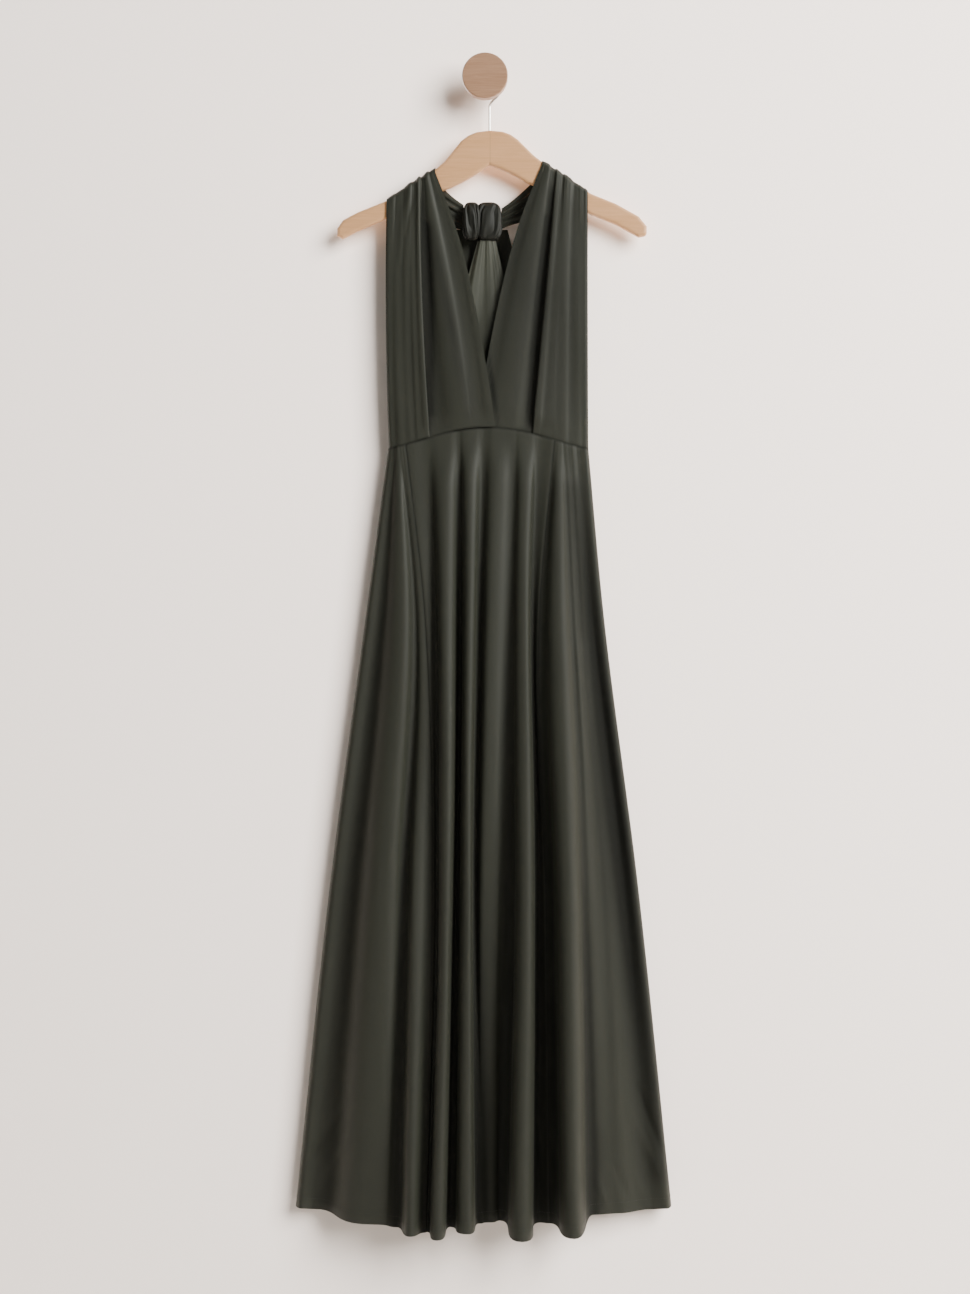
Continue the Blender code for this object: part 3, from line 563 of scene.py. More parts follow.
@dataclass(frozen=True)
class StrapSurface:
    """A strap: v is 0 at the waist, then over the hanger, and 1 at the knot.

    Attributes:
        folds: The lines along the strap where the cloth turns.
        knot_x: Where the strap enters the knot, millimetres, as all places here.
        knot_top: Upper end of that entry.
        knot_bottom: Its lower end.
        toward_knot: 1 when the strap runs to the right behind the hanger and -1 to the left.
        seed: Shifts the pattern of the gathers.
        seam_out: Greatest distance from the wall at the waist seam.
        front_end: Share of the length where the hanger's arc starts.
        crest_end: Share where it ends.
        knot_out: Distance of the entry from the wall.
        waist_gap: Between the strap's lower edge and the waist seam.
        flat_share: Share of the front run over which the folds open.
        crest_gathers: Height of the gathers at the hanger.
        waist_gathers: Their height at the waist.
        steepness: How upright the flanks of the folds are.
        leave_down: Downward slope behind the hanger.
        arrive_across: Sideways slope at the knot.
        arrive_down: Downward slope there.
    """

    folds: tuple[StrapFold, ...]
    knot_x: float
    knot_top: float
    knot_bottom: float
    toward_knot: int
    seed: float
    seam_out: float
    front_end: float = 0.6
    crest_end: float = 0.72
    knot_out: float = 18.0
    waist_gap: float = 0.1
    flat_share: float = 0.08
    crest_gathers: float = 0.4
    waist_gathers: float = 0.06
    steepness: float = 0.4
    leave_down: float = 42.0
    arrive_across: float = 35.0
    arrive_down: float = 22.0

    def _gathers(self, u: np.ndarray, share: float) -> np.ndarray:
        """Fine gathers that are strongest at the hanger and at the waist seam.

        Args:
            u: Places across the cloth, counted in fold rows.
            share: Share of the front run, 0 at the waist.

        Returns:
            Their height at each place, millimetres.
        """
        width = u / (len(self.folds) - 1)
        shoulder = Gathers(self.crest_gathers, 0.13, 9, self.seed).rise(width, 1 - share)
        low = Gathers(self.waist_gathers, 0.12, 12, self.seed + 2.3).rise(width, share)
        return shoulder + low

    def front(self, u: np.ndarray, share: float) -> np.ndarray:
        """A row of points on the front run.

        Args:
            u: Places across the cloth, counted in fold rows.
            share: Share of the run, from the waist 0 to the hanger 1.

        Returns:
            A row of points, millimetres.
        """
        across = columns(self.folds, "x_waist", "x_chest", "x_crest")
        outs = columns(self.folds, "out_waist", "out_chest", "crest_rise")
        lap = columns(self.folds, "lap")[:, 0]
        steep = np.full(len(self.folds), self.steepness)
        flat = np.zeros(len(self.folds))
        lateral = through_three(across[:, 0], across[:, 1], across[:, 2], share)
        crest_out = HANGER.middle_out + HANGER.arc_out + outs[:, 2]
        at_seam = np.minimum(outs[:, 0], self.seam_out)
        opened = ease(min(share / self.flat_share, 1.0))
        height = at_seam + (through_three(outs[:, 0], outs[:, 1], crest_out, share) - at_seam) * opened
        over = lap * (1 - share**3) * opened
        x, out = fold_section(lateral, height, u, steep, flat, over, round_first=True)
        low = WAIST.height(x) + self.waist_gap
        high = HANGER.top(x) - HANGER.arc_drop
        return np.stack([x, -out - self._gathers(u, share), low + (high - low) * share], axis=1)

    def crest(self, u: np.ndarray, share: float) -> np.ndarray:
        """A row of points on the arc over the hanger.

        Args:
            u: Places across the cloth, counted in fold rows.
            share: Share of the arc, from its front 0 to its back 1.

        Returns:
            A row of points, millimetres.
        """
        crest_x, crest_rise = columns(self.folds, "x_crest", "crest_rise").T
        steep = np.full(len(self.folds), self.steepness)
        flat = np.zeros(len(self.folds))
        x, rise = fold_section(crest_x, crest_rise, u, steep, flat, flat, round_first=True)
        rise = rise + self._gathers(u, 1.0)
        angle = np.pi * share
        out = HANGER.middle_out + (HANGER.arc_out + rise) * np.cos(angle)
        z = HANGER.top(x) - HANGER.arc_drop + (HANGER.arc_up + rise) * np.sin(angle)
        return np.stack([x, -out, z], axis=1)

    def back(self, u: np.ndarray, share: float) -> np.ndarray:
        """A row of points on the run behind the hanger.

        Args:
            u: Places across the cloth, counted in fold rows.
            share: Share of the run, from the hanger 0 to the knot 1.

        Returns:
            A row of points, millimetres.
        """
        start = self.crest(u, 1.0)
        knot_share, knot_rise = columns(self.folds, "knot_share", "knot_rise").T
        steep = np.full(len(self.folds), self.steepness)
        flat = np.zeros(len(self.folds))
        across, rise = fold_section(knot_share, knot_rise, u, steep, flat, flat)
        end = np.stack(
            [
                np.full_like(across, self.knot_x),
                rise - self.knot_out,
                self.knot_top + (self.knot_bottom - self.knot_top) * across,
            ],
            axis=1,
        )
        leave = np.array([0.0, 0.0, -self.leave_down])
        arrive = np.array([self.arrive_across * self.toward_knot, 0.0, -self.arrive_down])
        return smooth_path(share, start, leave, end, arrive)

    def point(self, u: np.ndarray, v: float) -> np.ndarray:
        """A row of points across the strap.

        Args:
            u: Places across the cloth, counted in fold rows.
            v: Share of the strap's length, 0 at the waist.

        Returns:
            A row of points, millimetres.
        """
        if v <= self.front_end:
            return self.front(u, v / self.front_end)
        if v <= self.crest_end:
            return self.crest(u, (v - self.front_end) / (self.crest_end - self.front_end))
        return self.back(u, (v - self.crest_end) / (1 - self.crest_end))

    def side_edge(self, z: float) -> tuple[float, float]:
        """Where the strap's outer edge lies at a height.

        Args:
            z: The height, millimetres.

        Returns:
            Its x and its distance from the wall.
        """
        crest = float(HANGER.top(self.folds[0].x_crest)) - HANGER.arc_drop
        share = (z - WAIST.side_z) / (crest - WAIST.side_z)
        row = self.folds[0]
        crest_out = HANGER.middle_out + HANGER.arc_out + row.crest_rise
        x = through_three(row.x_waist, row.x_chest, row.x_crest, share)
        return x, through_three(row.out_waist, row.out_chest, crest_out, share)


@dataclass(frozen=True)
class BandSurface:
    """The low back band: v is 0 at its top and 1 at the waist, its sides follow the straps.

    Attributes:
        left: The strap at its left end.
        right: The strap at its right end.
        top_z: Height of its upper edge at the sides, millimetres, as all lengths here.
        dip: How far that edge sinks in the middle.
        brink_in: How far inside the strap's edge the cloth turns to the back.
        brink_out: Distance from the wall at that turn.
        seam_gap: Between the band's ends and the straps.
        inner_x: Places of the soft folds between the turns.
        inner_out: Their distances from the wall.
        gathers: The fine gathers at the waist.
    """

    left: StrapSurface
    right: StrapSurface
    top_z: float = -415.0
    dip: float = 10.0
    brink_in: float = 8.0
    brink_out: float = 16.5
    seam_gap: float = 0.1
    inner_x: tuple[float, ...] = (-70.0, -20.0, 40.0, 88.0)
    inner_out: tuple[float, ...] = (15.6, 13.9, 15.6, 14.0)
    gathers: Gathers = Gathers(0.25, 0.4, 10, 3.1)

    def point(self, u: np.ndarray, v: float) -> np.ndarray:
        """A row of points across the cloth at one height.

        Args:
            u: Places across the cloth, counted in fold rows.
            v: Share of the height, 0 at the top.

        Returns:
            A row of points, millimetres.
        """
        side_z = self.top_z + (WAIST.side_z - self.top_z) * v
        left_x, left_out = self.left.side_edge(side_z)
        right_x, right_out = self.right.side_edge(side_z)
        lateral = np.array(
            [left_x, left_x + self.brink_in, *self.inner_x, right_x - self.brink_in, right_x]
        )
        inside = (self.brink_out, *self.inner_out, self.brink_out)
        height = np.array([left_out - self.seam_gap, *inside, right_out - self.seam_gap])
        plain = np.zeros(len(lateral))
        x, out = fold_section(lateral, height, u, plain, plain, plain, True, True)
        width = u / (len(lateral) - 1)
        fine = self.gathers.rise(width, 1 - v)
        dip = self.dip * np.sin(np.pi * width) * (1 - v)
        return np.stack([x, -out - fine, side_z - dip], axis=1)


@dataclass(frozen=True)
class TailSurface:
    """A strap end that hangs from the knot, v running from the knot 0 to its lower end 1.

    Attributes:
        folds: The lines down the tail where the cloth turns.
        end_z: Height of the lower end, millimetres.
        gathers: The fine gathers at the knot.
        top_z: Height of the knot's lower side, millimetres.
        neck_down: Length share of the tables' neck values.
        fall_down: Length share where the cloth starts to fall straight.
        fall_x_share: How much of the spread from the neck to the top is left there.
        fall_out_share: The same for the distance from the wall.
        steepness: How upright the flanks of the folds are.
    """

    folds: tuple[TailFold, ...]
    end_z: float
    gathers: Gathers
    top_z: float = -216.4
    neck_down: float = 0.12
    fall_down: float = 0.04
    fall_x_share: float = 0.6
    fall_out_share: float = 0.35
    steepness: float = 0.3

    def point(self, u: np.ndarray, v: float) -> np.ndarray:
        """A row of points across the tail.

        Args:
            u: Places across the cloth, counted in fold rows.
            v: Share of its length, 0 at the knot.

        Returns:
            A row of points, millimetres.
        """
        knots = np.array([0.0, self.fall_down, self.neck_down, 0.5, 1.0])
        x_top, x_neck, x_end = columns(self.folds, "x_top", "x_neck", "x_end").T
        out_top, out_neck, out_end = columns(self.folds, "out_top", "out_neck", "out_end").T
        x_fall = x_neck + (x_top - x_neck) * self.fall_x_share
        out_fall = out_neck + (out_top - out_neck) * self.fall_out_share
        across = np.column_stack([x_top, x_fall, x_neck, (x_neck + x_end) / 2, x_end])
        height = np.column_stack([out_top, out_fall, out_neck, out_end, out_end])
        plain = np.zeros(len(self.folds))
        steep = np.full(len(self.folds), self.steepness)
        across_here, height_here = through(knots, across, v), through(knots, height, v)
        x, out = fold_section(across_here, height_here, u, steep, plain, plain)
        fine = self.gathers.rise(u / (len(self.folds) - 1), v)
        _, raised = fold_section(x_top, columns(self.folds, "lift")[:, 0], u, steep, plain, plain)
        top = self.top_z + raised * (1 - v)
        z = top + (self.end_z - top) * v
        return np.stack([x, -out - fine, z], axis=1)


# Node wiring


@dataclass(frozen=True)
class Wire:
    """An output socket that can take part in sums, which are made as Math nodes."""

    paint: "Paint"
    socket: bpy.types.NodeSocket

    def _math(self, operation: str, first: "Wire | float", second: "Wire | float") -> "Wire":
        """One Math node's result."""
        node = self.paint.node("ShaderNodeMath", {"operation": operation}, {0: first, 1: second})
        return Wire(self.paint, node.outputs[0])

    def __add__(self, other: "Wire | float") -> "Wire":
        """The sum."""
        return self._math("ADD", self, other)

    def __radd__(self, other: float) -> "Wire":
        """The sum with a number first."""
        return self._math("ADD", other, self)

    def __sub__(self, other: "Wire | float") -> "Wire":
        """The difference."""
        return self._math("SUBTRACT", self, other)

    def __rsub__(self, other: float) -> "Wire":
        """A number less this value."""
        return self._math("SUBTRACT", other, self)

    def __mul__(self, other: "Wire | float") -> "Wire":
        """The product."""
        return self._math("MULTIPLY", self, other)

    def __rmul__(self, other: float) -> "Wire":
        """The product with a number first."""
        return self._math("MULTIPLY", other, self)

    def clamp(self) -> "Wire":
        """Keeps the value between 0 and 1."""
        return self._math("MINIMUM", self._math("MAXIMUM", self, 0.0), 1.0)

    def wave(self, pace: float) -> "Wire":
        """The sine of the value times pace."""
        return self._math("SINE", self * pace, 0.0)


class Paint:
    """Makes one node material."""

    def __init__(self, name: str) -> None:
        """Starts a material with one Principled shader.

        Args:
            name: The material's name.
        """
        self.material = bpy.data.materials.new(name)
        self.material.use_nodes = True
        self.tree = self.material.node_tree
        self.shader = self.tree.nodes["Principled BSDF"]
        self.output = self.tree.nodes["Material Output"]

    def node(
        self,
        kind: str,
        settings: Optional[dict[str, object]] = None,
        inputs: Optional[dict[str | int, object]] = None,
    ) -> bpy.types.Node:
        """Adds a node.

        Args:
            kind: The node type.
            settings: Its own settings, set before its sockets.
            inputs: Values or wires by socket number, name or identifier.

        Returns:
            The node.
        """
        made = self.tree.nodes.new(kind)
        for key, value in (settings or {}).items():
            setattr(made, key, value)
        for key, value in (inputs or {}).items():
            self.put(made, key, value)
        return made

    def put(self, node: bpy.types.Node, key: str | int, value: object) -> None:
        """Sets or links one input socket of a node.

        Args:
            node: The node.
            key: Its socket's number, identifier or name.
            value: A value or a wire.
        """
        socket = node.inputs[key] if isinstance(key, int) else self._named(node, key)
        if isinstance(value, Wire):
            self.tree.links.new(value.socket, socket)
        else:
            socket.default_value = value

    @staticmethod
    def _named(node: bpy.types.Node, key: str) -> bpy.types.NodeSocket:
        """Finds an input socket.

        Args:
            node: The node.
            key: The socket's identifier, or else its name.

        Returns:
            The socket.
        """
        for socket in node.inputs:
            if socket.identifier == key:
                return socket
        return node.inputs[key]

    def read(self, node: bpy.types.Node, name: str | int) -> Wire:
        """One output of a node as a wire."""
        return Wire(self, node.outputs[name])

    def place(self, uv_map: Optional[str] = None) -> Wire:
        """Object coordinates, or a UV map's.

        Args:
            uv_map: The map's name, or None for Object coordinates.

        Returns:
            The coordinates.
        """
        if uv_map is None:
            return self.read(self.node("ShaderNodeTexCoord"), "Object")
        return self.read(self.node("ShaderNodeUVMap", {"uv_map": uv_map}), "UV")

    def attribute(self, name: str) -> Wire:
        """A number that the piece's mesh holds for each place, and 0 where it holds none."""
        return self.read(self.node("ShaderNodeAttribute", {"attribute_name": name}), "Fac")

    def stretch(self, vector: Wire, scale: Triple) -> Wire:
        """A vector times a scale for each axis."""
        node = self.node("ShaderNodeVectorMath", {"operation": "MULTIPLY"}, {0: vector, 1: scale})
        return self.read(node, 0)

    def axis(self, vector: Wire, name: str) -> Wire:
        """One coordinate of a vector."""
        return self.read(self.node("ShaderNodeSeparateXYZ", None, {0: vector}), name)

    def noise(self, vector: Wire, scale: float, detail: float = 3.0, distortion: float = 0.0) -> Wire:
        """Noise from 0 to 1."""
        values = {"Vector": vector, "Scale": scale, "Detail": detail, "Distortion": distortion}
        return self.read(self.node("ShaderNodeTexNoise", None, values), 0)

    def blend(self, share: Wire | float, first: object, second: object) -> Wire:
        """Mixes two colours.

        Args:
            share: How much of the second there is.
            first: A colour or a wire.
            second: The other one.

        Returns:
            The mixed colour.
        """
        values = {"Factor_Float": share, "A_Color": first, "B_Color": second}
        made = self.node("ShaderNodeMix", {"data_type": "RGBA"}, values)
        result = next(item for item in made.outputs if item.identifier == "Result_Color")
        return Wire(self, result)

    def bump(self, height: Wire, distance: float, strength: float = 1.0) -> None:
        """Feeds a Bump node into the shader's normal."""
        values = {"Height": height, "Distance": distance, "Strength": strength}
        self.put(self.shader, "Normal", self.read(self.node("ShaderNodeBump", None, values), 0))

    def shade(self, **values: object) -> None:
        """Sets or links sockets of the shader, named with underscores for spaces."""
        for name, value in values.items():
            self.put(self.shader, name.replace("_", " "), value)


def full(colour: Colour, gain: float = 1.0) -> tuple[float, float, float, float]:
    """A colour times gain, with alpha."""
    return (colour[0] * gain, colour[1] * gain, colour[2] * gain, 1.0)


@dataclass(frozen=True)
class JerseyFinish:
    """Satin-faced jersey with painted shade: darker and duller where its mesh holds a shade value.

    Attributes:
        name: The material's name.
        colour: Linear base colour.
        wale: Width in metres of one knit rib.
        roughness: Of the smooth face.
        sheen: How much light the nap catches at a grazing angle.
        painted_shade_gain: Gain on the colour where the painted shade is full.
        deep_roughness: Added to the roughness there.
    """

    name: str
    colour: Colour = (0.0250, 0.0268, 0.0182)
    wale: float = 0.0007
    roughness: float = 0.60
    sheen: float = 0.015
    painted_shade_gain: float = 0.26
    deep_roughness: float = 0.35

    def make(self) -> bpy.types.Material:
        """Builds the material on the UV map "cloth", in metres."""
        paint = Paint(self.name)
        cloth = paint.place("cloth")
        across = paint.axis(cloth, "X")
        along = paint.axis(cloth, "Y")
        rib = across.wave(2 * math.pi / self.wale)
        loop = along.wave(2 * math.pi / (self.wale * 1.3))
        crepe = paint.noise(paint.stretch(cloth, (1.0, 0.45, 1.0)), 240.0, 3.0)
        soft = paint.noise(paint.stretch(cloth, (1.0, 0.3, 1.0)), 26.0, 2.0)
        tone = paint.noise(paint.stretch(cloth, (1.0, 0.2, 1.0)), 7.0, 3.0)
        face = paint.blend(tone * 0.5 + crepe * 0.5, full(self.colour, 0.86), full(self.colour, 1.16))
        # Painted shade: the mesh's shade attribute darkens the colour in folds and seam grooves, and
        # roughens the face there.
        deep = paint.attribute("shade")
        face = paint.blend(deep, face, full(self.colour, self.painted_shade_gain))
        uneven = (soft - 0.5) * 0.12 + (crepe - 0.5) * 0.1
        paint.shade(Base_Color=face, Roughness=uneven + deep * self.deep_roughness + self.roughness)
        paint.shade(Sheen_Weight=self.sheen, Sheen_Roughness=0.4, Specular_IOR_Level=0.38)
        paint.shade(Sheen_Tint=full((0.9, 0.88, 0.78)))
        paint.bump(rib * 0.04 + loop * 0.02 + crepe * 0.35 + soft * 1.6, 0.0005, 0.55)
        return paint.material


@dataclass(frozen=True)
class WoodFinish:
    """Pale wood with fine grain along X.

    Attributes:
        name: The material's name.
        light: Linear colour of early wood.
        dark: Linear colour of the grain lines.
        grain: How many grain lines there are to a metre.
        joint_x: Where a fine glued joint crosses, metres, or None.
        varnish: Coat weight.
        joint_width: Half the width of the joint's line, metres.
    """

    name: str
    light: Colour
    dark: Colour
    grain: float = 420.0
    joint_x: Optional[float] = None
    varnish: float = 0.25
    joint_width: float = 0.0008

    def make(self) -> bpy.types.Material:
        """Builds the material on Object coordinates."""
        paint = Paint(self.name)
        place = paint.place()
        lines = paint.noise(paint.stretch(place, (0.06, 1.0, 1.0)), self.grain, 4.0, 0.6)
        flecks = paint.noise(paint.stretch(place, (0.12, 1.0, 1.0)), self.grain * 3.5, 2.0)
        bands = paint.noise(paint.stretch(place, (0.15, 1.0, 1.0)), 45.0, 3.0, 1.2)
        share = (lines * 1.5 - 0.35 + (bands - 0.5) * 0.8 + (flecks - 0.5) * 0.35).clamp()
        colour = paint.blend(share, full(self.dark), full(self.light))
        if self.joint_x is not None:
            off = paint.axis(place, "X") - self.joint_x
            away = paint.read(paint.node("ShaderNodeMath", {"operation": "ABSOLUTE"}, {0: off}), 0)
            line = (1.0 - away * (1 / self.joint_width)).clamp()
            colour = paint.blend(line * 0.45, colour, full(self.dark, 0.45))
        paint.shade(Base_Color=colour, Roughness=(1.0 - share) * 0.12 + 0.42, Coat_Weight=self.varnish)
        paint.shade(Coat_Roughness=0.3, Specular_IOR_Level=0.4)
        paint.bump(share * 0.6 + flecks * 0.4, 0.0002, 0.35)
        return paint.material


@dataclass(frozen=True)
class WireFinish:
    """Plated wire with fine drawing marks."""

    name: str
    colour: Colour = (0.56, 0.54, 0.50)

    def make(self) -> bpy.types.Material:
        """Builds the material on Object coordinates."""
        paint = Paint(self.name)
        place = paint.place()
        marks = paint.noise(paint.stretch(place, (1.0, 1.0, 0.3)), 900.0, 3.0)
        wear = paint.noise(place, 160.0, 2.0)
        paint.shade(Base_Color=paint.blend(wear, full(self.colour, 0.8), full(self.colour, 1.15)))
        paint.shade(Metallic=1.0, Roughness=(marks - 0.5) * 0.2 + 0.32)
        paint.bump(marks, 0.00008, 0.5)
        return paint.material


@dataclass(frozen=True)
class PlasterFinish:
    """Smooth painted plaster, seen from the front only when one_sided is set."""

    name: str
    colour: Colour
    one_sided: bool = False

    def make(self) -> bpy.types.Material:
        """Builds the material on Object coordinates."""
        paint = Paint(self.name)
        place = paint.place()
        cloud = paint.noise(place, 1.6, 2.0)
        fine = paint.noise(place, 260.0, 3.0)
        paint.shade(Base_Color=paint.blend(cloud, full(self.colour, 0.985), full(self.colour, 1.01)))
        paint.shade(Roughness=(fine - 0.5) * 0.1 + 0.85, Specular_IOR_Level=0.2)
        paint.bump(fine, 0.0002, 0.15)
        if self.one_sided:
            clear = paint.node("ShaderNodeBsdfTransparent")
            side = paint.read(paint.node("ShaderNodeNewGeometry"), "Backfacing")
            mixed = paint.node(
                "ShaderNodeMixShader",
                None,
                {0: side, 1: Wire(paint, paint.shader.outputs[0]), 2: Wire(paint, clear.outputs[0])},
            )
            paint.tree.links.new(mixed.outputs[0], paint.output.inputs["Surface"])
        return paint.material


# Meshes


class Held(Enum):
    HUNG = "hung"
    GATHERED = "gathered"


def arc_length(points: np.ndarray, axis: int) -> np.ndarray:
    """Length run along one axis of a grid of points, starting at 0.

    Args:
        points: Rows by columns by three.
        axis: 0 down the cloth or 1 across it.

    Returns:
        The length at each point.
    """
    steps = np.linalg.norm(np.diff(points, axis=axis), axis=2)
    start = np.zeros_like(points[..., 0]).take([0], axis=axis)
    return np.concatenate([start, np.cumsum(steps, axis=axis)], axis=axis)


def grid_normals(points: np.ndarray) -> np.ndarray:
    """Unit normals of a grid of points."""
    normal = np.cross(np.gradient(points, axis=1), np.gradient(points, axis=0))
    return normal / np.maximum(np.linalg.norm(normal, axis=2, keepdims=True), 1e-9)


def cloth_shell(
    name: str,
    points: np.ndarray,
    thick: float,
    look: bpy.types.Material,
    shade: Optional[np.ndarray] = None,
) -> bpy.types.Object:
    """Makes a thin closed shell of cloth on a grid of points.

    Args:
        name: The piece's name.
        points: Rows by columns by three, millimetres, the middle of the cloth.
        thick: Thickness of the cloth in millimetres.
        look: Its material.
        shade: Painted shade of each place, from 0 to 1, or nothing for an even piece.

    Returns:
        The linked object, with a UV map "cloth" in metres.
    """
    rows, cols = points.shape[:2]
    normal = grid_normals(points) * thick / 2
    verts = np.concatenate([(points + normal).reshape(-1, 3), (points - normal).reshape(-1, 3)]) * MM
    index = np.arange(rows * cols).reshape(rows, cols)
    far = index + rows * cols
    top = np.stack([index[:-1, :-1], index[:-1, 1:], index[1:, 1:], index[1:, :-1]], axis=-1).reshape(-1, 4)
    under = top[:, ::-1] + rows * cols
    rims = []
    for near, away, turn in (
        (index[:, 0], far[:, 0], 1),
        (index[:, -1], far[:, -1], -1),
        (index[0], far[0], -1),
        (index[-1], far[-1], 1),
    ):
        rim = np.stack([near[:-1], near[1:], away[1:], away[:-1]], axis=-1)
        rims.append(rim[:, ::turn])
    faces = np.concatenate([top, under, *rims])
    mesh = bpy.data.meshes.new(name)
    mesh.from_pydata(verts.tolist(), [], faces.tolist())
    across = arc_length(points, 1)
    across = across - across[:, [cols // 2]]
    along = np.broadcast_to(arc_length(points, 0).mean(axis=1, keepdims=True), (rows, cols))
    cloth = np.stack([across.ravel(), along.ravel()], axis=1) * MM
    layer = mesh.uv_layers.new(name="cloth")
    layer.data.foreach_set("uv", cloth[faces.ravel() % (rows * cols)].ravel())
    # Keeps the painted shade as a point attribute named shade, which the jersey reads.
    if shade is not None:
        depth = mesh.attributes.new(name="shade", type="FLOAT", domain="POINT")
        depth.data.foreach_set("value", np.concatenate([shade.ravel(), shade.ravel()]))
    mesh.materials.append(look)
    mesh.shade_smooth()
    mesh.set_sharp_from_angle(angle=math.radians(SHARP_DEGREES))
    return link(name, mesh)


def link(name: str, data: bpy.types.ID) -> bpy.types.Object:
    """Adds an object for some data to the scene.

    Args:
        name: The object's name.
        data: A mesh, a light or a camera.

    Returns:
        The object.
    """
    made = bpy.data.objects.new(name, data)
    bpy.context.scene.collection.objects.link(made)
    return made


def shell_area(piece: bpy.types.Object) -> float:
    """Half of a closed shell's surface, which is one side of the cloth, in square metres."""
    return sum(face.area for face in piece.data.polygons) / 2


def stretches(first: float, last: float, steps: int) -> np.ndarray:
    """Places between two fold rows with the same number of steps in each stretch."""
    return np.linspace(first, last, int(round((last - first) * steps)) + 1)


def sample(surface: Surface, us: np.ndarray, vs: np.ndarray) -> np.ndarray:
    """A grid of points of a surface, with a row for each v."""
    return np.array([surface(us, float(v)) for v in vs])


@dataclass(frozen=True)
class PaintedHollowShade:
    """Painted shade in a piece's valleys.

    Attributes:
        gain: Painted shade of a deep valley.
        reach: How far sideways the cloth around a place counts, millimetres.
        depth: The depth of a deep valley.
        most: The most that the painted shade comes to, its shade lines included.
    """

    gain: float
    reach: float
    depth: float
    most: float = 1.0

    def shade(self, points: np.ndarray) -> np.ndarray:
        """Works out the painted shade of each place from how deep it lies in a fold, from nothing on a crest
        to gain in a valley.

        Args:
            points: The cloth's grid, millimetres.

        Returns:
            The painted shade of each place.
        """
        x, out = points[..., 0], -points[..., 1]
        spacing = np.gradient(arc_length(points, 1), axis=1)
        found = np.empty_like(x)
        for row, (across, height) in enumerate(zip(x, out)):
            share = np.exp(-(((across[:, None] - across[None, :]) / self.reach) ** 2)) * spacing[row]
            found[row] = (share @ height / share.sum(axis=1) - height) / self.depth
        return self.gain * np.clip(found, 0, 1)


def seam_dip(points: np.ndarray, side: str, depth: float, width: float) -> np.ndarray:
    """How far the cloth sinks toward a seam along one border of the grid, or how much painted shade it gets
    there.

    Args:
        points: The grid.
        side: left, right, top or bottom border.
        depth: Of the groove at the border in millimetres, or its painted shade.
        width: Of its falloff, millimetres.

    Returns:
        Depth or shade at each point.
    """
    axis = 1 if side in ("left", "right") else 0
    run = arc_length(points, axis)
    if side in ("right", "bottom"):
        run = run.take([-1], axis=axis) - run
    return depth * np.exp(-((run / width) ** 2))


def push_out(points: np.ndarray, amount: np.ndarray) -> None:
    """Moves points toward the viewer by an amount in millimetres."""
    points[..., 1] -= amount


@dataclass(frozen=True)
class Groove:
    """How cloth sinks toward a seam, with a line of painted shade in its groove.

    Attributes:
        depth: At the seam, millimetres.
        width: Of its falloff.
        dark: Painted shade of that line, from 0 to 1.
        painted_shade_width: Of that line's falloff.
    """

    depth: float
    width: float
    dark: float
    painted_shade_width: float

    def press(self, points: np.ndarray, side: str, shade: np.ndarray) -> np.ndarray:
        """Sinks the cloth along one border of its grid and paints the shade of its groove.

        Args:
            points: The grid, which is changed.
            side: left, right, top or bottom border.
            shade: The shade of each place.

        Returns:
            The painted shade, with the seam's line of painted shade added.
        """
        push_out(points, -seam_dip(points, side, self.depth, self.width))
        return np.maximum(shade, seam_dip(points, side, self.dark, self.painted_shade_width))


@dataclass(frozen=True)
class SheetSize:
    """Cut of a sheet and how it is held.

    Attributes:
        width: Across its folds, metres.
        length: Down it, metres.
        held: How it is held; not used.
        rests_on: Names of pieces that it lies on; not used.
    """

    width: float
    length: float
    held: Held
    rests_on: tuple[str, ...] = ()


def dress_sheet(piece: bpy.types.Object, node: str, size: SheetSize) -> bpy.types.Object:
    """Logs a cloth piece's cut and area, hangs it under the root and hides the CAD node it replaces.

    Args:
        piece: The cloth.
        node: The CAD node it stands for.
        size: Its cut.

    Returns:
        The same piece.
    """
    area = shell_area(piece)
    report(piece, f"cut {size.width:.3f} by {size.length:.3f} m, one side {area:.3f} m2")
    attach(piece, "root")
    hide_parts(node)
    return piece


def report(piece: bpy.types.Object, note: str = "") -> None:
    """Logs one finished piece."""
    count = len(piece.data.polygons) if piece.type == "MESH" else 0
    LOG.info("%s: %d faces %s", piece.name, count, note)


# Stitches


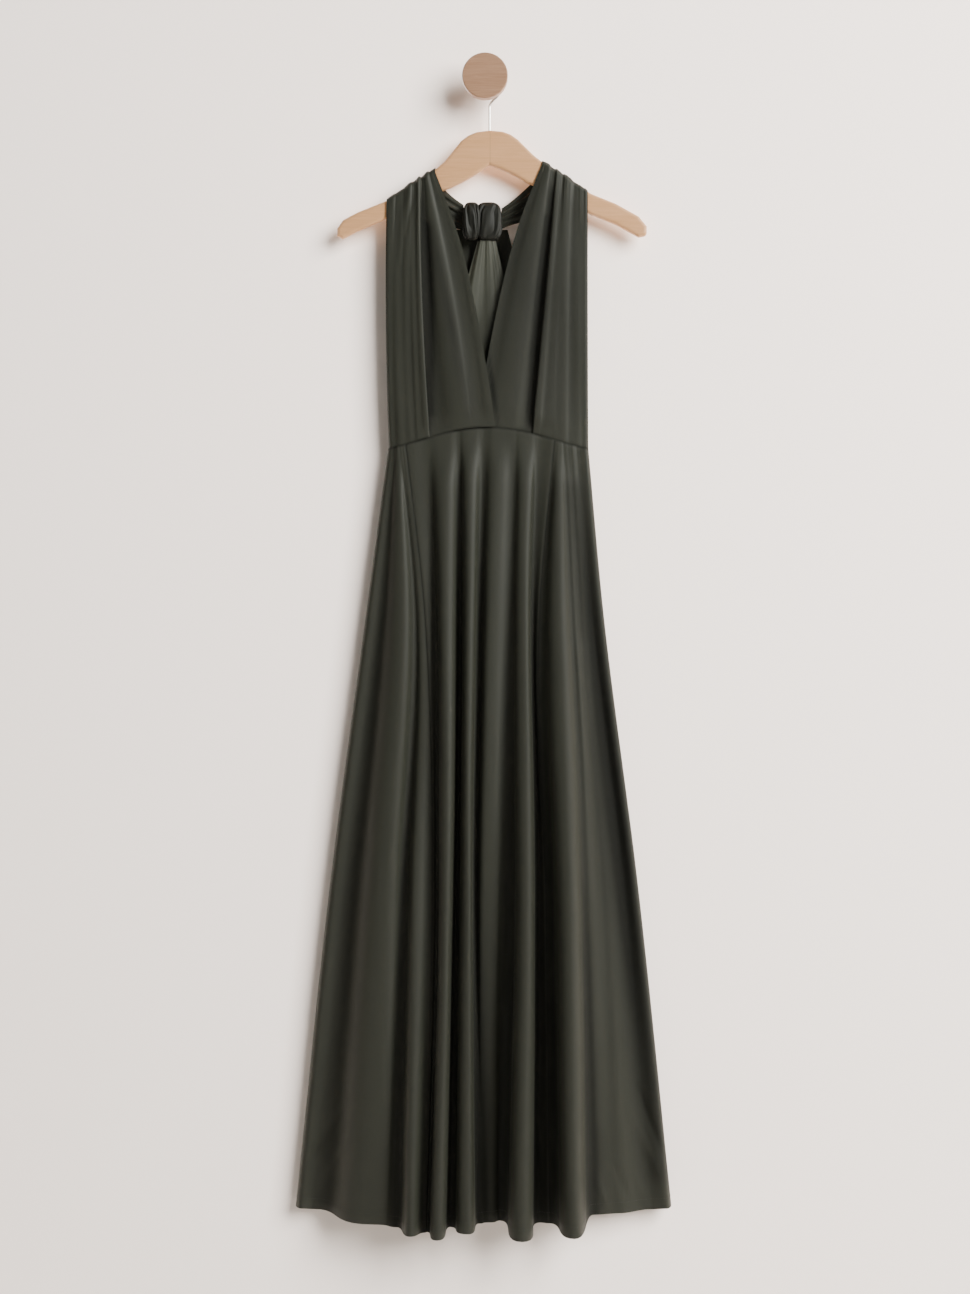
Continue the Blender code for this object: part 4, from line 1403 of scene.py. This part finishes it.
class StitchRun:
    """Small stitches set along lines on the cloth by a Geometry Nodes tree."""

    def __init__(self, look: bpy.types.Material) -> None:
        """Builds the tree.

        Args:
            look: The thread's material.
        """
        self.look = look
        self.tree = bpy.data.node_groups.new("stitches", "GeometryNodeTree")
        face = self.tree.interface
        face.new_socket("Geometry", in_out="INPUT", socket_type="NodeSocketGeometry")
        self.sockets = {
            name: face.new_socket(name, in_out="INPUT", socket_type=kind).identifier
            for name, kind in (
                ("Spacing", "NodeSocketFloat"),
                ("Length", "NodeSocketFloat"),
                ("Thread", "NodeSocketFloat"),
                ("Seed", "NodeSocketInt"),
                ("Material", "NodeSocketMaterial"),
            )
        }
        face.new_socket("Geometry", in_out="OUTPUT", socket_type="NodeSocketGeometry")
        self._wire()

    def _node(
        self,
        kind: str,
        settings: Optional[dict[str, object]] = None,
        inputs: Optional[dict[str | int, object]] = None,
    ) -> bpy.types.Node:
        """Adds a node of the tree.

        Args:
            kind: The node type.
            settings: Its own settings.
            inputs: Links or values by socket.

        Returns:
            The node.
        """
        made = self.tree.nodes.new(kind)
        for key, value in (settings or {}).items():
            setattr(made, key, value)
        for key, value in (inputs or {}).items():
            if isinstance(value, bpy.types.NodeSocket):
                self.tree.links.new(value, made.inputs[key])
            else:
                made.inputs[key].default_value = value
        return made

    def _wire(self) -> None:
        """Lays out the nodes from the guide line to the finished stitches."""
        start = self._node("NodeGroupInput").outputs
        line = self._node("GeometryNodeMeshToCurve", None, {"Mesh": start["Geometry"]})
        even = self._node(
            "GeometryNodeResampleCurve",
            {"mode": "LENGTH"},
            {"Curve": line.outputs[0], "Length": start["Spacing"]},
        )
        tangent = self._node("GeometryNodeInputTangent")
        turned = self._node(
            "FunctionNodeAlignRotationToVector", {"axis": "X"}, {"Vector": tangent.outputs[0]}
        )
        stitch = self._node("GeometryNodeMeshUVSphere", None, {"Segments": 6, "Rings": 5, "Radius": 0.5})
        vary = self._node(
            "FunctionNodeRandomValue",
            {"data_type": "FLOAT"},
            {"Min": 0.88, "Max": 1.1, "Seed": start["Seed"]},
        )
        chosen = next(item for item in vary.outputs if item.type == "VALUE" and item.enabled)
        long = self._node("ShaderNodeMath", {"operation": "MULTIPLY"}, {0: start["Length"], 1: chosen})
        size = self._node(
            "ShaderNodeCombineXYZ", None, {"X": long.outputs[0], "Y": start["Thread"], "Z": start["Thread"]}
        )
        placed = self._node(
            "GeometryNodeInstanceOnPoints",
            None,
            {
                "Points": even.outputs[0],
                "Instance": stitch.outputs[0],
                "Rotation": turned.outputs[0],
                "Scale": size.outputs[0],
            },
        )
        real = self._node("GeometryNodeRealizeInstances", None, {"Geometry": placed.outputs[0]})
        done = self._node(
            "GeometryNodeSetMaterial", None, {"Geometry": real.outputs[0], "Material": start["Material"]}
        )
        self._node("NodeGroupOutput", None, {"Geometry": done.outputs[0]})

    def sew(
        self,
        name: str,
        lines: Sequence[np.ndarray],
        spacing: float,
        length: float,
        thread: float,
        seed: int,
    ) -> bpy.types.Object:
        """Sews along lines.

        Args:
            name: The piece's name.
            lines: Each a run of points in millimetres, on the cloth's face.
            spacing: From one stitch to the next, millimetres.
            length: Of one stitch.
            thread: Thickness of the thread.
            seed: Of the small differences in length.

        Returns:
            A plain mesh.
        """
        verts = np.concatenate(lines) * MM
        ends = np.cumsum([len(line) for line in lines])
        edges = [(i, i + 1) for i in range(len(verts) - 1) if i + 1 not in set(ends.tolist())]
        guide = bpy.data.meshes.new(name + "_guide")
        guide.from_pydata(verts.tolist(), edges, [])
        holder = link(name + "_guide", guide)
        modifier = holder.modifiers.new("stitches", "NODES")
        modifier.node_group = self.tree
        modifier[self.sockets["Spacing"]] = spacing * MM
        modifier[self.sockets["Length"]] = length * MM
        modifier[self.sockets["Thread"]] = thread * MM
        modifier[self.sockets["Seed"]] = seed
        modifier[self.sockets["Material"]] = self.look
        bpy.context.view_layer.update()
        graph = bpy.context.evaluated_depsgraph_get()
        mesh = bpy.data.meshes.new_from_object(holder.evaluated_get(graph), depsgraph=graph)
        mesh.name = name
        holder.modifiers.remove(modifier)
        bpy.data.objects.remove(holder)
        bpy.data.meshes.remove(guide)
        mesh.shade_smooth()
        made = link(name, mesh)
        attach(made, "root")
        report(made, "stitches")
        return made


# The dress


@dataclass
class Skirt:
    """Three front panels and the back panel.

    Attributes:
        look: The jersey.
        fine: Columns to each stretch between fold rows.
        rows: Rows down the skirt.
        crowd: Power that draws the rows toward the waist.
        back_fine: Columns to each stretch of the back.
        back_rows: Rows down the back.
        thick: Cloth thickness in millimetres.
        seam_rows: Fold rows of the two seams of the front.
        hem_up: Height of the turned hem, millimetres.
        hem_stands: How far the turned hem stands out of the single cloth.
        gathers: The fine gathers under the waist seam, on the front.
        back_gathers: The same on the back.
        drape_down: How far below the waist the front's waves reach their full height.
        back_drape_down: The same for the back's.
        drape: Faint waves of the front.
        back_drape: Faint waves of the back.
        seam: The groove at a princess seam, with its painted shade line.
        waist: The groove at the waist seam, with its painted shade line.
        shade_down: How far below the waist the hollows reach their full painted shade.
        front_hollow: Painted shade of the front's valleys.
        back_hollow: Painted shade of the back's valleys.
        creases: Creases on the front, given one by one.
        painted_shade_lines: Lines of painted shade on the front, given one by one, whose depth is their
            shade.
        hem_lines: A line along each panel's hem for its stitches.
    """

    look: bpy.types.Material
    fine: int = 10
    rows: int = 230
    crowd: float = 1.05
    back_fine: int = 8
    back_rows: int = 170
    thick: float = 0.8
    seam_rows: tuple[int, int] = (6, 16)
    hem_up: float = 13.0
    hem_stands: float = 0.35
    gathers: Gathers = Gathers(0.12, 52.0, 21, 0.7)
    back_gathers: Gathers = Gathers(0.5, 60.0, 17, 2.9)
    drape_down: float = 160.0
    back_drape_down: float = 200.0
    drape: Drape = Drape(0.6, 31.0, 140.0, 97.0, 0.0, 1.1)
    back_drape: Drape = Drape(0.5, 24.0, 110.0, 95.0, 2.0, 0.0)
    seam: Groove = Groove(0.3, 1.3, 0.8, 1.5)
    waist: Groove = Groove(0.6, 2.2, 0.75, 1.4)
    shade_down: float = 45.0
    front_hollow: PaintedHollowShade = PaintedHollowShade(0.75, 14.0, 9.0, 0.95)
    back_hollow: PaintedHollowShade = PaintedHollowShade(0.7, 22.0, 7.5)
    creases: tuple[Crease, ...] = (
        Crease(124, -560, 139, -1150, 14.0, 3.0),
        Crease(132, -780, 147, -1420, 13.0, 4.5),
        Crease(207, -1370, 249, -1484, 5.0, -2.4),
        Crease(196, -1400, 240, -1500, 5.0, 1.6),
        Crease(-193, -1408, -246, -1484, 5.0, -2.4),
        Crease(-180, -1430, -228, -1508, 5.0, 1.6),
        Crease(150, -1490, 168, -1536, 3.5, 1.5),
        Crease(176, -1478, 196, -1530, 4.0, -1.6),
        Crease(205, -1490, 222, -1532, 4.0, 1.4),
    )
    painted_shade_lines: tuple[Crease, ...] = (
        # Painted shade along the side troughs of the right and left panels.
        Crease(124, -560, 240, -1490, 18.0, 0.85),
        Crease(114, -560, 226, -1490, 32.0, 0.3),
        Crease(-138, -605, -243, -1480, 14.0, 0.1),
    )
    hem_lines: list[np.ndarray] = field(default_factory=list)

    def _hem_line(self, points: np.ndarray, outward: int) -> np.ndarray:
        """The line at the top of the turned hem, on a panel's outer face.

        Args:
            points: The panel's grid.
            outward: 1 for a front panel and -1 for the back panel.

        Returns:
            A run of points in millimetres.
        """
        run = arc_length(points, 0)
        row = int(np.argmin(np.abs(run[-1] - run - self.hem_up).mean(axis=1)))
        face = grid_normals(points)[row]
        face = face * np.sign(-face[:, [1]]) * outward
        return points[row] + face * (self.thick / 2 + 0.12)

    def _front_points(self, surface: SkirtSurface, first: int, last: int) -> tuple[np.ndarray, np.ndarray]:
        """One front panel with its gathers, creases and sunk seams.

        Args:
            surface: The front of the skirt.
            first: Fold row at the panel's left border.
            last: Fold row at its right border.

        Returns:
            The grid of points and the painted shade of each.
        """
        us = stretches(first, last, self.fine)
        down = np.linspace(0, 1, self.rows) ** self.crowd
        points = sample(surface.point, us, down)
        x, z = points[..., 0].copy(), points[..., 2].copy()
        share = us / (len(FRONT_FOLDS) - 1)
        below = WAIST.height(x) - z
        soft = self.drape.rise(x, z) * np.clip(below / self.drape_down, 0, 1)
        push_out(points, self.gathers.rise(share, below) + soft + crease_push(self.creases, x, z))
        # Painted shade: darker in the valleys, along the shade lines and in the seam grooves.
        shade = self.front_hollow.shade(points) * np.clip(below / self.shade_down, 0, 1)
        shade = np.clip(shade + crease_push(self.painted_shade_lines, x, z), 0, self.front_hollow.most)
        for side, used in (("left", first > 0), ("right", last < len(FRONT_FOLDS) - 1)):
            if used:
                shade = self.seam.press(points, side, shade)
        shade = self.waist.press(points, "top", shade)
        push_out(points, self._hem_turn(points) - seam_dip(points, "bottom", 0.5, 1.5))
        return points, shade

    def _hem_turn(self, points: np.ndarray) -> np.ndarray:
        """The turned-up hem stands a little out of the single cloth above it.

        Args:
            points: A panel's grid.

        Returns:
            How far each point stands out, millimetres.
        """
        run = arc_length(points, 0)
        left = run[-1:] - run
        return self.hem_stands / (1 + np.exp(np.minimum((left - self.hem_up) / 1.2, 40)))

    def build(self) -> None:
        """Makes and dresses the four panels."""
        front = SkirtSurface(FRONT_FOLDS, arched=True, wander=1.4)
        end = len(FRONT_FOLDS) - 1
        for name, node, first, last, size in (
            ("skirt_left", "skirt_front_left", 0, self.seam_rows[0], SheetSize(0.25, 1.065, Held.HUNG)),
            ("skirt_centre", "skirt_front_centre", *self.seam_rows, SheetSize(0.405, 1.085, Held.HUNG)),
            ("skirt_right", "skirt_front_right", self.seam_rows[1], end, SheetSize(0.28, 1.07, Held.HUNG)),
        ):
            points, shade = self._front_points(front, first, last)
            dress_sheet(cloth_shell(name, points, self.thick, self.look, shade), node, size)
            self.hem_lines.append(self._hem_line(points, 1))
        us = stretches(0, len(BACK_FOLDS) - 1, self.back_fine)
        back = SkirtSurface(BACK_FOLDS, arched=False, wander=1.2)
        points = sample(back.point, us, np.linspace(0, 1, self.back_rows))
        x, z = points[..., 0].copy(), points[..., 2].copy()
        below = WAIST.side_z - z
        gathers = self.back_gathers.rise(us / (len(BACK_FOLDS) - 1), below)
        soft = self.back_drape.rise(x, z) * np.clip(below / self.back_drape_down, 0, 1)
        push_out(points, -gathers - soft + seam_dip(points, "top", 0.9, 3.0))
        # Painted shade in the back's valleys.
        shade = self.back_hollow.shade(points) * np.clip(below / self.shade_down, 0, 1)
        piece = cloth_shell("skirt_back_panel", points, self.thick, self.look, shade)
        dress_sheet(piece, "skirt_back", SheetSize(0.56, 1.045, Held.HUNG))
        self.hem_lines.append(self._hem_line(points, -1))


@dataclass
class Bodice:
    """The two gathered straps and the back band.

    Attributes:
        look: The jersey.
        fine: Columns to each stretch between fold rows.
        rows: Rows on a strap's front run, over the hanger and behind it.
        band_grid: Columns to each stretch of the band, and its rows.
        thick: Cloth thickness in millimetres.
        hollow: Painted shade of the straps' valleys.
        drape: Faint waves of the straps.
        waist: The groove at the waist seam, with its painted shade line.
        left: The strap on the viewer's left.
        right: The strap on the viewer's right.
        left_creases: Creases on the left strap, given one by one.
        right_creases: Creases on the right strap, given one by one.
        left_painted_shade: Lines of painted shade on the left strap, given one by one, whose depth is their
            shade.
        right_painted_shade: The same on the right strap.
    """

    look: bpy.types.Material
    fine: int = 11
    rows: tuple[int, int, int] = (150, 34, 60)
    band_grid: tuple[int, int] = (12, 50)
    thick: float = 0.7
    hollow: PaintedHollowShade = PaintedHollowShade(0.8, 8.0, 1.9, 0.9)
    drape: Drape = Drape(0.45, 17.0, 74.0, 51.0, 0.0, 0.4)
    waist: Groove = Groove(0.5, 2.2, 0.6, 1.2)
    left: StrapSurface = StrapSurface(LEFT_STRAP_FOLDS, -29.4, -167.0, -203.0, 1, 0.4, 40.5)
    right: StrapSurface = StrapSurface(RIGHT_STRAP_FOLDS, 22.9, -172.0, -200.0, -1, 1.9, 38.0)
    left_creases: tuple[Crease, ...] = (
        Crease(-71, -182, -54, -318, 7.0, 0.3),
        Crease(-54, -318, -33, -426, 6.5, 0.4),
        Crease(-80, -196, -74, -390, 5.5, -2.6),
        Crease(-100, -160, -107, -210, 3.0, -1.0),
        Crease(-112, -170, -116, -250, 3.5, 0.9),
    )
    right_creases: tuple[Crease, ...] = (
        Crease(84, -190, 58, -470, 6.5, -1.6),
        Crease(104, -150, 108, -320, 8.0, 0.5),
        Crease(118, -250, 121, -470, 7.0, -0.8),
        Crease(88, -190, 76, -330, 3.2, -0.8),
    )
    left_painted_shade: tuple[Crease, ...] = (
        Crease(-79, -198, -71, -455, 5.5, 0.9),
        Crease(-72, -205, -21, -455, 7.5, 0.6),
    )
    right_painted_shade: tuple[Crease, ...] = (
        Crease(85, -190, 59, -475, 5.5, 0.6),
        # Broad painted shade over the right strap.
        Crease(72, -150, 80, -440, 60.0, 0.5),
        # Painted shadow under the left strap's inner edge, where the right strap passes beneath it.
        Crease(3, -366, 18, -474, 3.5, 0.9),
    )

    def _strap(
        self, surface: StrapSurface, creases: Sequence[Crease], painted_shade_lines: Sequence[Crease]
    ) -> tuple[np.ndarray, np.ndarray]:
        """One strap, whose creases and painted shade lie on its front run only.

        Args:
            surface: The strap.
            creases: Its creases.
            painted_shade_lines: Its lines of painted shade.

        Returns:
            The grid of points and the painted shade of each.
        """
        us = stretches(0, len(surface.folds) - 1, self.fine)
        front = np.linspace(0, surface.front_end, self.rows[0])
        crest = np.linspace(surface.front_end, surface.crest_end, self.rows[1])[1:]
        back = np.linspace(surface.crest_end, 1, self.rows[2])[1:]
        points = sample(surface.point, us, np.concatenate([front, crest, back]))
        on_front = np.zeros(len(points))
        on_front[: len(front)] = np.clip((surface.front_end - front) / 0.05, 0, 1)
        x, z = points[..., 0].copy(), points[..., 2].copy()
        push_out(points, on_front[:, None] * (crease_push(creases, x, z) + self.drape.rise(x, z)))
        # Painted shade in the strap's valleys and along its shade lines.
        shade = self.hollow.shade(points) + crease_push(painted_shade_lines, x, z)
        shade = np.clip(shade, 0, self.hollow.most) * on_front[:, None]
        return points, self.waist.press(points, "top", shade)

    def build(self) -> None:
        """Makes and dresses the straps and the band."""
        size = SheetSize(0.165, 0.495, Held.GATHERED)
        for name, node, surface, creases, painted_shade_lines in (
            ("strap_over_left", "strap_left", self.left, self.left_creases, self.left_painted_shade),
            ("strap_over_right", "strap_right", self.right, self.right_creases, self.right_painted_shade),
        ):
            points, shade = self._strap(surface, creases, painted_shade_lines)
            dress_sheet(cloth_shell(name, points, self.thick, self.look, shade), node, size)
        band = BandSurface(self.left, self.right)
        columns_each, rows = self.band_grid
        points = sample(band.point, stretches(0, 7, columns_each), np.linspace(0, 1, rows))
        push_out(points, seam_dip(points, "bottom", 0.8, 3.0))
        piece = cloth_shell("band_back", points, self.thick, self.look)
        dress_sheet(piece, "back_band", SheetSize(0.30, 0.10, Held.HUNG))


@dataclass
class Tails:
    """The two strap ends that hang from the knot inside the neckline and skirt.

    Attributes:
        look: The jersey.
        thick: Cloth thickness in millimetres.
        fine: Columns to each stretch between fold rows.
        rows: Rows down a tail.
        crowd: Power that draws the rows toward the knot.
        front: The end in front, which the light reaches.
        back: The end behind it.
        pieces: The dressed ends, the front one first.
    """

    look: bpy.types.Material
    thick: float = 0.7
    fine: int = 12
    rows: int = 190
    crowd: float = 1.5
    front: TailSurface = TailSurface(TAIL_FRONT_FOLDS, -1150.0, Gathers(0.25, 0.07, 6, 1.2))
    back: TailSurface = TailSurface(TAIL_BACK_FOLDS, -1190.0, Gathers(0.25, 0.07, 6, 2.6))
    pieces: list[bpy.types.Object] = field(default_factory=list)

    def build(self) -> None:
        """Makes and dresses both ends."""
        down = np.linspace(0, 1, self.rows) ** self.crowd
        for name, node, surface, size in (
            ("tail_lit", "tail_front", self.front, SheetSize(0.105, 0.94, Held.HUNG)),
            ("tail_dark", "tail_back", self.back, SheetSize(0.135, 0.995, Held.HUNG)),
        ):
            us = stretches(0, len(surface.folds) - 1, self.fine)
            piece = cloth_shell(name, sample(surface.point, us, down), self.thick, self.look)
            self.pieces.append(dress_sheet(piece, node, size))


@dataclass(frozen=True)
class Lump:
    """A rounded stretch of the knot with upright folds.

    Attributes:
        name: The piece's name.
        node: The CAD node it stands for.
        centre: Its middle, millimetres.
        half: Half of its size along each axis.
        fullness: Power that squares off the ball, 1 for a plain ball.
        folds: How many folds go round it.
        depth: Depth of a fold as a share of the radius.
        twist: Turn of the folds from the middle to the top, radians.
        lean: How far the top lies to the right, as a share of half its width.
    """

    name: str
    node: str
    centre: Triple
    half: Triple
    fullness: float
    folds: int
    depth: float
    twist: float
    lean: float


@dataclass
class Knot:
    """The wrapped knot behind the hanger's middle.

    Attributes:
        look: The jersey, a darker copy whose colour carries the knot's painted shade.
        lumps: The stretches of strap that make it.
        uv_radius: Radius in metres on which the cloth's UV map is wound.
        segments: Faces round a lump and from its foot to its top.
    """

    look: bpy.types.Material
    lumps: tuple[Lump, ...] = (
        Lump("knot_wrapped", "knot_wrap", (-18.6, -20, -190.4), (12.2, 14.2, 25.8), 0.6, 9, 0.2, 0.35, 0.02),
        Lump("knot_side", "knot_lobe", (5.2, -19, -190.2), (18.4, 13.2, 26.0), 0.62, 8, 0.2, -0.5, -0.04),
    )
    uv_radius: float = 0.014
    segments: tuple[int, int] = (168, 72)

    def _lump(self, lump: Lump) -> bpy.types.Object:
        """Makes a lump from a ball whose points are squared off, folded and twisted.

        Args:
            lump: Its sizes.

        Returns:
            The linked object.
        """
        shape = bmesh.new()
        around, up = self.segments
        bmesh.ops.create_uvsphere(shape, u_segments=around, v_segments=up, radius=1.0)
        for vert in shape.verts:
            x, y, z = vert.co
            angle = math.atan2(y, x) + lump.twist * z
            waist = math.hypot(x, y)
            uneven = angle * lump.folds / 2 + 0.7 * math.sin(angle * 2 + lump.centre[0])
            uneven += 0.3 * math.sin(5 * z)
            fold = lump.depth * waist * (1 - abs(math.cos(uneven))) ** 1.4
            fine = 0.02 * waist * math.sin(angle * lump.folds * 2.3 + 2 * z)
            ripple = 1 - fold + fine
            filled = [math.copysign(abs(value) ** lump.fullness, value) for value in (x, y, z)]
            vert.co = Vector(
                (
                    (lump.centre[0] + lump.half[0] * (filled[0] * ripple + lump.lean * z)) * MM,
                    (lump.centre[1] + lump.half[1] * filled[1] * ripple) * MM,
                    (lump.centre[2] + lump.half[2] * filled[2]) * MM,
                )
            )
        mesh = bpy.data.meshes.new(lump.name)
        shape.to_mesh(mesh)
        shape.free()
        layer = mesh.uv_layers.new(name="cloth")
        for loop in mesh.loops:
            x, y, z = mesh.vertices[loop.vertex_index].co
            angle = math.atan2(y + 0.02, x - lump.centre[0] * MM)
            layer.data[loop.index].uv = (angle * self.uv_radius, z)
        mesh.materials.append(self.look)
        mesh.shade_smooth()
        return link(lump.name, mesh)

    def build(self) -> None:
        """Makes and dresses the knot's lumps."""
        for lump in self.lumps:
            piece = self._lump(lump)
            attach(piece, "root")
            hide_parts(lump.node)
            report(piece)


@dataclass
class Fittings:
    """Hanger, hook and peg, which keep their CAD shape and get better finishes.

    Attributes:
        nodes: The CAD's objects by name.
        hanger: The hanger's pale wood, with the joint of its two arms.
        peg: The peg's darker wood.
        wire: The hook's wire.
    """

    nodes: dict[str, bpy.types.Object]
    hanger: WoodFinish = WoodFinish(
        "pale hanger wood", (0.86, 0.485, 0.24), (0.72, 0.375, 0.165), 420, 0.007, 0.3
    )
    peg: WoodFinish = WoodFinish("peg wood", (0.52, 0.31, 0.19), (0.36, 0.19, 0.105), 480, None, 0.1)
    wire: WireFinish = WireFinish("plated wire")

    def build(self) -> None:
        """Gives each CAD node its material."""
        finishes = {"hanger_body": self.hanger, "wall_peg": self.peg, "hanger_hook": self.wire}
        for node, finish in finishes.items():
            piece = self.nodes[node]
            material = finish.make()
            if not piece.material_slots:
                piece.data.materials.append(material)
            for place in piece.material_slots:
                place.material = material
            report(piece)


# Studio


class Reach(Enum):
    """What a lamp does to the pieces named for it."""

    ALL = "plain"
    ONLY = "INCLUDE"
    SPARES = "EXCLUDE"


@dataclass(frozen=True)
class Lamp:
    """A square area light.

    Attributes:
        name: Its name.
        at: Its place, metres.
        aim: The place it points at.
        size: Length of a side, metres.
        power: In watts.
        colour: Linear colour.
    """

    name: str
    at: Triple
    aim: Triple
    size: float
    power: float
    colour: Colour

    def build(self, reach: Reach = Reach.ALL, pieces: Sequence[bpy.types.Object] = ()) -> None:
        """Adds the light and says what it lights.

        Args:
            reach: Whether it lights everything, the pieces only or all but them.
            pieces: The pieces that are lit alone or spared.
        """
        lamp = bpy.data.lights.new(self.name, "AREA")
        lamp.size = self.size
        lamp.energy = self.power
        lamp.color = self.colour
        made = link(self.name, lamp)
        made.location = self.at
        made.rotation_euler = (Vector(self.aim) - Vector(self.at)).to_track_quat("-Z", "Y").to_euler()
        if reach is Reach.ALL:
            return
        group = bpy.data.collections.new(self.name + " receivers")
        for piece in pieces:
            group.objects.link(piece)
        for member in group.collection_objects:
            member.light_linking.link_state = reach.value
        made.light_linking.receiver_collection = group


@dataclass
class Studio:
    """Wall, floor, lights and the camera at the photograph's angle.

    Attributes:
        behind_neck: The cloth in the neckline that the neck lamp alone lights.
        photo: Width and height of the photograph in pixels.
        mm_a_pixel: Size of a pixel at the wall, millimetres.
        distance: From the camera to the wall, metres, as all lengths here.
        level: Height of the camera.
        sensor: Height of its sensor in millimetres.
        wall_size: Width and height of the wall.
        wall_behind: How far the wall's paint lies behind the peg's back face.
        wall_paint: The wall's finish.
        floor_size: Length of the floor's side.
        floor_z: Height of the floor.
        floor_paint: The floor's finish.
        air: Linear colour of the light from all round.
        air_strength: Its strength.
        key: The light for the dress, which spares the wall.
        wash: The light for the wall alone.
        neck: The light for the cloth in the neckline.
        others: The lights that reach everything.
    """

    behind_neck: tuple[bpy.types.Object, ...]
    photo: tuple[int, int] = (970, 1294)
    mm_a_pixel: float = 1.38
    distance: float = 3.0
    level: float = -0.7736
    sensor: float = 24.0
    wall_size: tuple[float, float] = (5.0, 3.6)
    wall_behind: float = 0.0006
    wall_paint: PlasterFinish = PlasterFinish("wall paint", (0.82, 0.747, 0.690), True)
    floor_size: float = 8.0
    floor_z: float = -1.75
    floor_paint: PlasterFinish = PlasterFinish("pale floor", (0.74, 0.72, 0.69))
    air: Colour = (1.0, 0.985, 0.97)
    air_strength: float = 0.08
    key: Lamp = Lamp("key", (2.5, -2.05, 1.0), (0.0, 0.0, -0.8), 1.3, 195.0, (1.0, 1.0, 0.97))
    wash: Lamp = Lamp("wall wash", (2.4, -3.2, 0.9), (0.0, 0.0, -0.75), 2.6, 800.0, (1.0, 0.963, 0.937))
    neck: Lamp = Lamp("neck", (0.35, -0.9, 0.05), (0.0, -0.02, -0.3), 0.3, 13.0, (1.0, 1.0, 0.92))
    others: tuple[Lamp, ...] = (
        Lamp("front fill", (-1.6, -3.4, -0.2), (0.0, 0.0, -0.9), 2.2, 6.0, (0.97, 0.985, 1.0)),
        Lamp("back key", (-0.7, 2.9, 0.6), (0.0, 0.0, -0.8), 1.4, 95.0, (1.0, 0.985, 0.96)),
        Lamp("back fill", (0.7, 3.1, -0.3), (0.0, 0.0, -0.8), 2.0, 40.0, (0.97, 0.985, 1.0)),
    )

    def build(self) -> None:
        """Makes everything that isn't part of the dress."""
        self._camera()
        wall = self._wall()
        floor = self._floor()
        world = bpy.data.worlds.new("soft room")
        world.use_nodes = True
        sky = world.node_tree.nodes["Background"]
        sky.inputs["Color"].default_value = full(self.air)
        sky.inputs["Strength"].default_value = self.air_strength
        bpy.context.scene.world = world
        self.key.build(Reach.SPARES, (wall,))
        self.wash.build(Reach.ONLY, (wall,))
        self.neck.build(Reach.ONLY, self.behind_neck)
        for lamp in self.others:
            lamp.build()

    def _camera(self) -> None:
        """Looks level along +Y, so that the wall plane has the photograph's scale."""
        lens = bpy.data.cameras.new("camera")
        height = self.photo[1] * self.mm_a_pixel * MM
        lens.sensor_fit = "VERTICAL"
        lens.sensor_height = self.sensor
        lens.lens = self.sensor * self.distance / height
        camera = link("camera", lens)
        camera.location = (0.0, -self.distance, self.level)
        camera.rotation_euler = (math.pi / 2, 0.0, 0.0)
        bpy.context.scene.camera = camera

    def _wall(self) -> bpy.types.Object:
        """The wall, which stands on the floor and lets the light from behind it through."""
        half, top, y = self.wall_size[0] / 2, self.floor_z + self.wall_size[1], self.wall_behind
        corners = [(-half, y, self.floor_z), (half, y, self.floor_z), (half, y, top), (-half, y, top)]
        wall = self._panel("wall", corners, self.wall_paint)
        wall.visible_shadow = False
        return wall

    def _floor(self) -> bpy.types.Object:
        """The floor under the wall."""
        half, z = self.floor_size / 2, self.floor_z
        corners = [(-half, -half, z), (half, -half, z), (half, half, z), (-half, half, z)]
        return self._panel("floor", corners, self.floor_paint)

    @staticmethod
    def _panel(name: str, corners: Sequence[Triple], finish: PlasterFinish) -> bpy.types.Object:
        """Makes a plain rectangle of the room.

        Args:
            name: Its name.
            corners: Its corners in order, metres.
            finish: Its paint.

        Returns:
            The linked object.
        """
        mesh = bpy.data.meshes.new(name)
        mesh.from_pydata(corners, [], [(0, 1, 2, 3)])
        mesh.materials.append(finish.make())
        return link(name, mesh)


def main() -> None:
    """Builds the dress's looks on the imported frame."""
    logging.basicConfig(level=logging.INFO, format="%(name)s %(message)s")
    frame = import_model()
    jersey = JerseyFinish("olive satin jersey").make()
    skirt = Skirt(jersey)
    skirt.build()
    stitches = StitchRun(jersey)
    stitches.sew("hem_stitches", skirt.hem_lines, spacing=3.6, length=2.6, thread=0.45, seed=7)
    Bodice(jersey).build()
    tails = Tails(jersey)
    tails.build()
    # The knot gets a darker copy of the jersey, its shade painted into the colour.
    Knot(JerseyFinish("knot jersey in painted shade", (0.0105, 0.0114, 0.0078), roughness=0.62).make()).build()
    Fittings(frame["nodes"]).build()
    Studio(behind_neck=tuple(tails.pieces[:1])).build()


if __name__ == "__main__":
    main()
